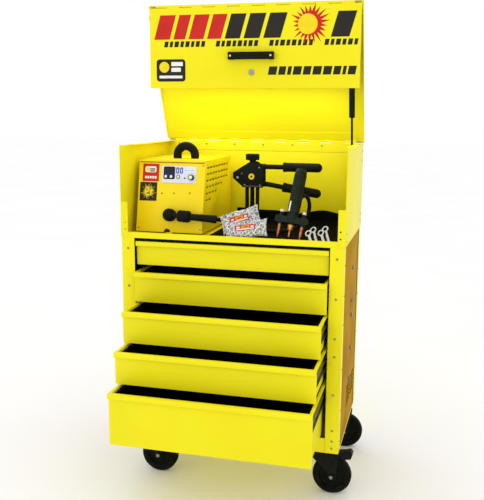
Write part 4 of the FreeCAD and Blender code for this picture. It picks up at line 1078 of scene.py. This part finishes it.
@dataclass
class Welder:
    """The welder's covers, handle, control panel, labels and plug."""

    slant: float = 50.0
    film_out: float = 3.02
    label_thick: float = 0.3
    marks: tuple[Point, ...] = ((-283, 1058), (-237, 1060), (-177, 1062))
    screw_spots: tuple[Point, ...] = ((-367, 933), (-132, 935), (-131, 1160))
    notch: tuple[float, float, float] = (-256.0, 921.0, 12.0)
    spark_corners: int = 52
    lean: float = field(init=False, default=0.0)
    front: float = field(init=False, default=0.0)
    low: float = field(init=False, default=0.0)
    origin: Vector = field(init=False, default_factory=Vector)

    def __post_init__(self) -> None:
        """Finds the leaning front from the panel and the cover."""
        low, high = box_of("welder_cover")
        panel_low = box_of("control_panel")[0]
        self.lean = math.atan2(self.slant, high.z - low.z)
        self.origin = Vector((panel_low.x, 0, panel_low.z))
        self.front = low.y
        self.low = low.z

    def on_front(self, x: float, z: float, out: float = 0.0) -> Vector:
        """Place on the leaning front at a height z, standing out by a distance, in cart millimetres."""
        y = self.front + (z - self.low) * math.tan(self.lean)
        return Vector((x, y - out * math.cos(self.lean), z + out * math.sin(self.lean)))

    def plate(self, name: str, x: float, z: float, wide: float, tall: float, out: float, thick: float,
              finish: Finish, slot: str = "panel_membrane", radius: float = 0.0) -> bpy.types.Object:
        """Thin plate on the leaning front.

        Args:
            name: the piece's name.
            x: left edge in cart millimetres.
            z: height of its lower edge.
            wide: width.
            tall: height along the front.
            out: how far its back stands off the front.
            thick: its thickness.
            finish: its finish.
            slot: the record's slot; not used.
            radius: radius of its corners.

        Returns:
            The plate.
        """
        flat = block(name, (0, -thick, 0), (wide, 0, tall))
        round_corners(flat, radius or min(wide, tall) / 6)
        self.lay(flat, x, z, out)
        return dress(flat, finish, "cart")

    def lay(self, obj: bpy.types.Object, x: float, z: float, out: float) -> None:
        """Turns a piece drawn at the cart's origin back onto the leaning front."""
        home = at(0, 0, 0)
        turn = Matrix.Rotation(-self.lean, 4, "X")
        obj.data.transform(Matrix.Translation(at(*self.on_front(x, z, out))) @ turn
                           @ Matrix.Translation(-home))
        obj.data.update()

    def build(self) -> None:
        """Makes and dresses the welder."""
        folded("welder_cover", "cart", WELDER_YELLOW, 0.5)
        folded("welder_chassis", "cart", WELDER_YELLOW, 0.5)
        repaint(BLACK_ABS, "welder_handle", "capacitor_bank")
        repaint(NAVY_PLASTIC, "setting_knob")
        repaint(RUBBER, "gun_plug")
        repaint(PANEL_FILM, "control_panel")
        repaint(KEY_PLASTIC, "button_left", "button_right", "button_mode")
        repaint(COPPER, "transformer")
        self.print_panel()
        self.print_labels()
        self.screws()
        self.bezel()

    def print_panel(self) -> None:
        """Dark window, its two digits, the small window and the printed dots of the panel."""
        x, z = self.origin.x, self.origin.z
        self.plate("panel_window_surround", x + 6, z + 12, 44, 46, self.film_out, 0.25, NAVY_INK, radius=6)
        self.plate("panel_window", x + 10, z + 38, 36, 15, 3.3, 0.3, BLACK_VINYL, radius=1)
        for n in range(2):
            self.digit(f"panel_digit_{n}", x + 54 + 14.5 * n, z + 33)
        for n in range(3):
            self.plate(f"panel_line_{n}", x + 88 + 12 * n, z + 44, 8, 1.8, self.film_out, 0.2, GREY_INK)
        self.plate("panel_dot", x + 85, z + 14, 6, 6, self.film_out, 0.3, NAVY_INK, radius=2.9)
        for name in ("left", "right", "mode"):
            low, high = box_of(f"button_{name}")
            spot = ((low.x + high.x) / 2, low.y + 2.2, (low.z + high.z) / 2)
            dot = ring(f"key_ring_{name}", spot, 6.8, 0.7, self.out(), 28)
            dress(dot, NAVY_INK, "cart")
        low, high = box_of("setting_knob")
        cap = disc("knob_cap", ((low.x + high.x) / 2, low.y + 1.4, (low.z + high.z) / 2 + 1.2), 7.2, 1.6,
                   self.out(), 32, 0.86)
        select_faces(cap, lambda middle, normal: normal.y < -0.9)
        bpy.ops.mesh.inset(thickness=0.0012)
        leave_edit()
        soften(cap, 0.3)
        dress(cap, KEY_PLASTIC, "setting_knob")

    def out(self) -> tuple[float, float, float]:
        """Direction straight out of the leaning front."""
        return (0.0, -math.cos(self.lean), math.sin(self.lean))

    def bezel(self) -> None:
        """Rolled lip along the front's upper edge, over a thin brown line of painted shadow."""
        low, high = box_of("welder_cover")
        top = high.z
        lip = block("welder_lip", (0, -5, 0), (high.x - low.x - 6, 0, 9))
        select_faces(lip, lambda middle, normal: abs(normal.y) > 0.9)
        bpy.ops.mesh.subdivide(number_cuts=4)
        leave_edit()
        self.lay(lip, low.x + 3, top - 8, 0.2)
        soften(lip, 1.8, 4)
        dress(lip, WELDER_YELLOW, "cart")
        # A thin brown strip under the lip: painted shadow.
        lip_shadow = block("welder_lip_shadow", (0, -0.7, 0), (high.x - low.x - 8, 0, 2.6))
        self.lay(soften(lip_shadow, 0.2), low.x + 4, top - 10.5, 0.1)
        dress(lip_shadow, LIP_SHADOW_BROWN, "cart")

    def digit(self, name: str, x: float, z: float) -> None:
        """One seven-segment nought: every segment but the middle one."""
        wide, tall, thick = 11.0, 22.0, 3.2
        bars = []
        for row in (0, 1):
            bars.append(block("bar", (thick * 0.7, -0.3, row * (tall - thick)),
                              (wide - thick * 0.7, 0, row * (tall - thick) + thick)))
        for column in (0, 1):
            for row in (0, 1):
                left, low = column * (wide - thick), row * tall / 2
                bars.append(block("bar", (left, -0.3, low + thick * 0.5 * (1 - row) + 0.3),
                                  (left + thick, 0, low + tall / 2 - thick * 0.5 * row - 0.3)))
        figure = join(name, bars)
        self.lay(soften(figure, 0.08, 1), x, z, 3.05)
        dress(figure, DIGIT_INK, "cart")

    def print_labels(self) -> None:
        """A red label with white and yellow fields, and a black one with a yellow spark."""
        left = self.origin.x - 75
        self.plate("red_label", left, 1100, 63, 64, 0.02, 0.3, RED_VINYL, radius=1.5)
        self.plate("red_label_field", left + 9, 1132, 43, 22, 0.33, 0.2, WHITE_VINYL, radius=7)
        self.plate("red_label_spot", left + 13, 1137, 14, 12, 0.54, 0.2, YELLOW_VINYL, radius=5)
        self.plate("red_label_bar", left + 28, 1142, 20, 4, 0.54, 0.2, BLACK_VINYL)
        self.plate("red_label_bar_low", left + 28, 1135, 18, 4, 0.54, 0.2, BLACK_VINYL)
        for n in range(5):
            self.plate(f"red_label_dash_{n}", left + 9 + 9.4 * n, 1110, 7.4, 9, 0.33, 0.2, WHITE_VINYL)
        self.plate("spark_label", left - 8, 1030, 66, 68, 0.02, 0.3, BLACK_VINYL, radius=1.5)
        rng = random.Random(11)
        spark = disc("label_spark", (0, -0.2, 0), 20, 0.2, (0, -1, 0), self.spark_corners)
        reach = [rng.uniform(1.0, 1.5) if n % 2 else rng.uniform(0.55, 0.8)
                 for n in range(self.spark_corners)]
        home = at(0, 0, 0)
        spike(spark, home, reach)
        self.lay(spark, left + 25, 1064, 0.33)
        dress(spark, YELLOW_VINYL, "cart")
        for n, (x, z, wide) in enumerate(((17, 1068, 5), (29, 1070, 5), (19, 1055, 13), (26, 1062, 4))):
            self.plate(f"label_spark_mark_{n}", left + x, z, wide, 4.5, 0.76, 0.2, BLACK_VINYL, radius=1.5)
        for n in range(9):
            streak = block("streak", (17 + rng.uniform(0, 5), -0.2, -0.5), (30, 0, 0.5))
            turn = Matrix.Rotation(n * 0.7 + rng.uniform(0, 0.3), 4, "Y")
            streak.data.transform(Matrix.Translation(home) @ turn @ Matrix.Translation(-home))
            self.lay(streak, left + 25, 1064, 0.33)
            streak.name = f"label_streak_{n}"
            soften(streak, 0.06, 1)
            dress(streak, YELLOW_VINYL, "cart")

    def screws(self) -> None:
        """Small dark screws on the front, and the half-round notch at its foot, drawn as a black half-disc
        of painted shade.
        """
        for name, spots, radius, depth, finish in (
                ("welder_marks", self.marks, 2.6, 1.4, BLACK_STEEL),
                ("welder_screws", self.screw_spots, 3.0, 1.6, ZINC)):
            heads = [soften(disc("head", self.on_front(x, z, 0.1), radius, depth, self.out(), 20, 0.7), 0.2)
                     for x, z in spots]
            dress(join(name, heads), finish, "cart")
        x, z, radius = self.notch
        # The notch is a flat black half-disc: painted shade for the opening.
        notch = disc("welder_notch", self.on_front(x, z, 0.1), radius, 0.8, self.out(), 32)
        select_faces(notch, lambda centre, normal: True)
        bpy.ops.mesh.bisect(plane_co=at(*self.on_front(x, z - 0.5)), plane_no=(0, 0, 1),
                            clear_inner=True, use_fill=True)
        leave_edit()
        dress(notch, BLACK_VINYL, "cart")


# ---------------------------------------------------------------- puller, gun, bags

@dataclass
class Puller:
    """Lever puller with its round badge, pivot bolts and a steel seam strip."""

    front: float = 238.0
    badge: tuple[float, float] = (19.3, 1116.4)
    badge_radius: float = 11.0
    bolt_long: float = 3.4
    bolts: tuple[tuple[float, float, float], ...] = ((-33, 1112, 5.0), (-17, 1127, 2.4), (49, 1150, 3.2),
                                                     (-6, 1086, 2.6), (52, 1086, 2.6))

    def build(self) -> None:
        """Makes and dresses the puller."""
        for node, body in (("puller_frame", "cart"), ("puller_lever", "puller_lever"),
                           ("puller_knob", "puller_knob")):
            folded(node, body, BLACK_STEEL, 1.0)
        face = self.front
        x, z = self.badge
        plate = disc("puller_badge", (x, face - 0.1, z), self.badge_radius, 1.2, (0, -1, 0), 40)
        select_faces(plate, lambda centre, normal: normal.y < -0.9)
        bpy.ops.mesh.inset(thickness=0.0015)
        bpy.ops.mesh.extrude_region_move(TRANSFORM_OT_translate={"value": (0, 0.0004, 0)})
        leave_edit()
        dress(plate, YELLOW_VINYL, "cart")
        spot = disc("puller_badge_spot", (x, face - 1.2, z), 4, 0.5, (0, -1, 0), 24)
        dress(soften(spot, 0.15, 1), BLACK_VINYL, "cart")
        heads = []
        for x, z, radius in self.bolts:
            bolt = disc("bolt", (x, face - 0.1, z), radius, self.bolt_long, (0, -1, 0), 6)
            heads.append(soften(bolt, 0.5))
        dress(join("puller_bolts", heads), ZINC, "cart")
        seam = block("puller_seam", (-12, face - 1.0, 1080.4), (61, face - 0.1, 1081.8))
        dress(soften(seam, 0.3), SLIDE_STEEL, "cart")


@dataclass
class Gun:
    """Weld gun: barrel flutes, thumb screws, stripe, strain relief and electrodes."""

    base: tuple[float, float, float] = (196.5, 96.0, 961.0)
    lean: float = 6.5
    back: float = 20.0
    ribs: int = 12
    rib_ring: float = 21.0
    rib_low: float = 66.0
    rib_long: float = 118.0
    screw_out: float = 40.0
    port_way: tuple[float, float, float] = (0.25, 1.0, 0.75)
    port: tuple[float, float, float] = (0.0, 13.0, 92.0)

    def frame(self) -> Matrix:
        """Matrix from the gun's own millimetres, nose down on Z, to the row frame's metres."""
        turn = Matrix.Rotation(math.radians(-self.back), 4, "X") @ Matrix.Rotation(
            math.radians(self.lean), 4, "Y")
        home = at(0, 0, 0)
        return Matrix.Translation(at(*self.base)) @ turn @ Matrix.Translation(-home)

    def place(self, obj: bpy.types.Object) -> bpy.types.Object:
        """Moves a piece drawn in the gun's own millimetres to its place."""
        obj.data.transform(self.frame())
        obj.data.update()
        return obj

    def build(self) -> None:
        """Makes and dresses the gun."""
        repaint(GUN_NYLON, "weld_gun")
        repaint(COPPER, "gun_electrodes")
        flutes = []
        for n in range(self.ribs):
            angle = math.tau * n / self.ribs
            x, y = self.rib_ring * math.cos(angle), self.rib_ring * math.sin(angle)
            flute = disc("flute", (x, y, self.rib_low), 1.5, self.rib_long, (0, 0, 1), 8)
            flutes.append(soften(flute, 0.5))
        ribs = self.place(join("gun_ribs", flutes))
        dress(ribs, GUN_NYLON, "cart")
        stripe = block("gun_stripe", (-14.5, -20.6, 48), (-9.5, -16.5, 84))
        soften(stripe, 0.4)
        dress(self.place(stripe), WHITE_VINYL, "cart")
        for side in Side:
            knob = disc(f"thumb_screw_{side.label}", (self.screw_out * side.value, 0, 45), 7.0, 9,
                        (0, 0, 1), 18)
            select_faces(knob, lambda centre, normal: abs(normal.z) < 0.3)
            bpy.ops.mesh.inset(thickness=0.0005, use_individual=True)
            leave_edit()
            soften(knob, 0.5)
            dress(self.place(knob), WHITE_NYLON, "cart")
        cone = disc("gun_collet", (0, 0, -17.5), 8.2, 19.5, (0, 0, 1), 40, 1.5)
        soften(cone, 0.6)
        dress(self.place(cone), BRASS, "cart")
        way = Vector(self.port_way).normalized()
        foot = Vector(self.port) + way * 12
        rings = [disc("ring", foot + way * 6 * n, 12.2 - 0.5 * n, 3.4, way, 32, 0.94) for n in range(4)]
        relief = self.place(soften(join("gun_strain_relief", rings), 0.6))
        dress(relief, RUBBER, "cart")


@dataclass
class StudBag:
    """A heat-sealed bag of studs with a printed label, blown up a little by what is in it."""

    name: str
    middle: tuple[float, float, float]
    wide: float
    tall: float
    fat: float
    turn: float
    back: float
    seed: int
    stud_count: int = 190

    def matrix(self) -> Matrix:
        """Matrix from the bag's own millimetres (X across, Z up) to the row frame's metres."""
        turn = Matrix.Rotation(math.radians(self.turn), 4, "Y") @ Matrix.Rotation(
            math.radians(self.back), 4, "X")
        return Matrix.Translation(at(*self.middle)) @ turn @ Matrix.Translation(-at(0, 0, 0))

    def swell(self, u: float, v: float) -> float:
        """Half thickness of the bag in millimetres at u across and v up, each from -1 to 1."""
        edge = max(0.0, 1 - u ** 4) * max(0.0, 1 - v ** 4)
        lumps = noise.noise(Vector((u * 4.1 + self.seed, v * 2.6, 0.7)))
        pleats = math.sin(u * 26 + self.seed) * abs(v) ** 3 + math.sin(v * 15 + self.seed) * abs(u) ** 4
        crumple = noise.noise(Vector((u * 11, v * 8, self.seed + 0.3)))
        body = self.fat * (1.05 - 0.25 * v)
        return 0.8 + edge ** 0.5 * (body + 2.4 * lumps + 1.4 * pleats + 2.2 * crumple)

    def spot(self, u: float, v: float, out: float) -> Vector:
        """Place on the bag at u across and v up, standing out in front by a distance."""
        x = u * self.wide / 2 * (1 - 0.05 * (1 - v * v))
        z = v * self.tall / 2 * (1 - 0.05 * (1 - u * u)) + 1.5 * math.sin(u * 5 + self.seed) * v
        return at(x, -out, z)

    def build(self) -> None:
        """Makes the film, the studs inside it and its label."""
        film = self.pillow(self.name, 1.0, 1.0)
        dress(film, BAG_FILM, "cart")
        shade = self.pillow(self.name + "_shade", 0.5, 0.9)
        dress(shade, STUD_SHADE, "cart")
        self.studs()
        self.print_label()

    def pillow(self, name: str, fat: float, spread: float) -> bpy.types.Object:
        """Two sheets that meet at crimped edges.

        Args:
            name: the piece's name.
            fat: share of the bag's thickness.
            spread: share of its width and height.

        Returns:
            The closed pillow.
        """
        sheets = []
        for side in (-1, 1):
            clear_selection()
            bpy.ops.mesh.primitive_grid_add(x_subdivisions=72, y_subdivisions=44, size=2)
            sheet = bpy.context.object
            for vertex in sheet.data.vertices:
                u, v = vertex.co.x * spread, vertex.co.y * spread
                rim = max(abs(vertex.co.x), abs(vertex.co.y)) > 0.999
                vertex.co = self.spot(u, v, 0.0 if rim else side * fat * self.swell(u, v))
            sheets.append(sheet)
        made = join(name, sheets)
        choose(made)
        bpy.ops.object.mode_set(mode="EDIT")
        bpy.ops.mesh.select_all(action="SELECT")
        bpy.ops.mesh.remove_doubles(threshold=0.0002)
        bpy.ops.mesh.normals_make_consistent(inside=False)
        leave_edit()
        made.data.transform(self.matrix())
        choose(made)
        bpy.ops.object.shade_smooth_by_angle(angle=math.radians(50))
        return made

    def studs(self) -> None:
        """A heap of long flanged studs against the film, modelled once and copied."""
        rng = random.Random(self.seed)
        pattern = disc("stud", (0, 0, 0), 2.2, 1.4, (0, 0, 1), 10)
        select_faces(pattern, lambda centre, normal: normal.z > 0.9)
        bpy.ops.mesh.inset(thickness=0.0011)
        bpy.ops.mesh.extrude_region_move(TRANSFORM_OT_translate={"value": (0, 0, 0.014)})
        leave_edit()
        heap = []
        for _ in range(self.stud_count):
            u, v = rng.uniform(-0.86, 0.86), rng.uniform(-0.84, 0.72)
            copy = bpy.data.objects.new("stud", pattern.data.copy())
            bpy.context.scene.collection.objects.link(copy)
            lie = Matrix.Rotation(rng.uniform(0, math.tau), 4, "Y") @ Matrix.Rotation(
                rng.uniform(-0.3, 0.3), 4, "X")
            out = self.swell(u, v) * rng.uniform(0.45, 0.86)
            copy.data.transform(Matrix.Translation(self.spot(u, v, out)) @ lie
                                @ Matrix.Translation(-at(0, 0, 7)))
            heap.append(copy)
        bpy.data.objects.remove(pattern)
        made = join(self.name + "_studs", heap)
        made.data.transform(self.matrix())
        dress(made, NICKEL, "cart")

    def print_label(self) -> None:
        """Label that follows the film's front: red, with a white band and an orange field."""
        parts = (("label", -0.52, 0.5, -0.24, 0.42, 0.5, RED_VINYL),
                 ("label_band", -0.46, 0.44, -0.15, -0.02, 0.8, WHITE_VINYL),
                 ("label_field", -0.2, 0.2, 0.0, 0.34, 0.8, ORANGE_VINYL),
                 ("label_mark", -0.1, 0.12, 0.1, 0.24, 1.0, RED_VINYL),
                 ("label_left", -0.44, -0.28, 0.06, 0.26, 0.8, WHITE_VINYL),
                 ("label_right", 0.27, 0.42, 0.06, 0.26, 0.8, WHITE_VINYL))
        for part, left, right, low, high, lift, finish in parts:
            clear_selection()
            bpy.ops.mesh.primitive_grid_add(x_subdivisions=30, y_subdivisions=12, size=1)
            made = bpy.context.object
            made.name = f"{self.name}_{part}"
            for vertex in made.data.vertices:
                u = left + (right - left) * (vertex.co.x + 0.5)
                v = low + (high - low) * (vertex.co.y + 0.5)
                vertex.co = self.spot(u, v, self.swell(u, v) + lift)
            modify(made, "SOLIDIFY", thickness=0.0002, offset=0.0)
            made.data.transform(self.matrix())
            choose(made)
            bpy.ops.object.shade_smooth()
            dress(made, finish, "cart")


@dataclass
class Goods:
    """Two bags of studs and the four pull keys."""

    def build(self) -> None:
        """Makes and dresses the loose goods."""
        rear = StudBag("stud_bag_rear", (19, 84, 975), 148, 76, 11, -19, -20, 3)
        front = StudBag("stud_bag_front", (50, 42, 951), 152, 64, 10, -8, -26, 8)
        for bag in (rear, front):
            bag.build()
        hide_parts("stud_bags")
        folded("pull_keys", "cart", NICKEL, 0.6)


def main() -> None:
    """Builds the studio, the lead and every assembly, in order."""
    Studio().build()
    GunLead().build()
    for assembly in (Cart(), Drawers(), Lid(), Casters(), Welder(), Puller(), Gun(), Goods()):
        assembly.build()
        log.info("%s built", type(assembly).__name__)


if __name__ == "__main__":
    logging.basicConfig(level=logging.INFO, format="%(message)s")
    main()
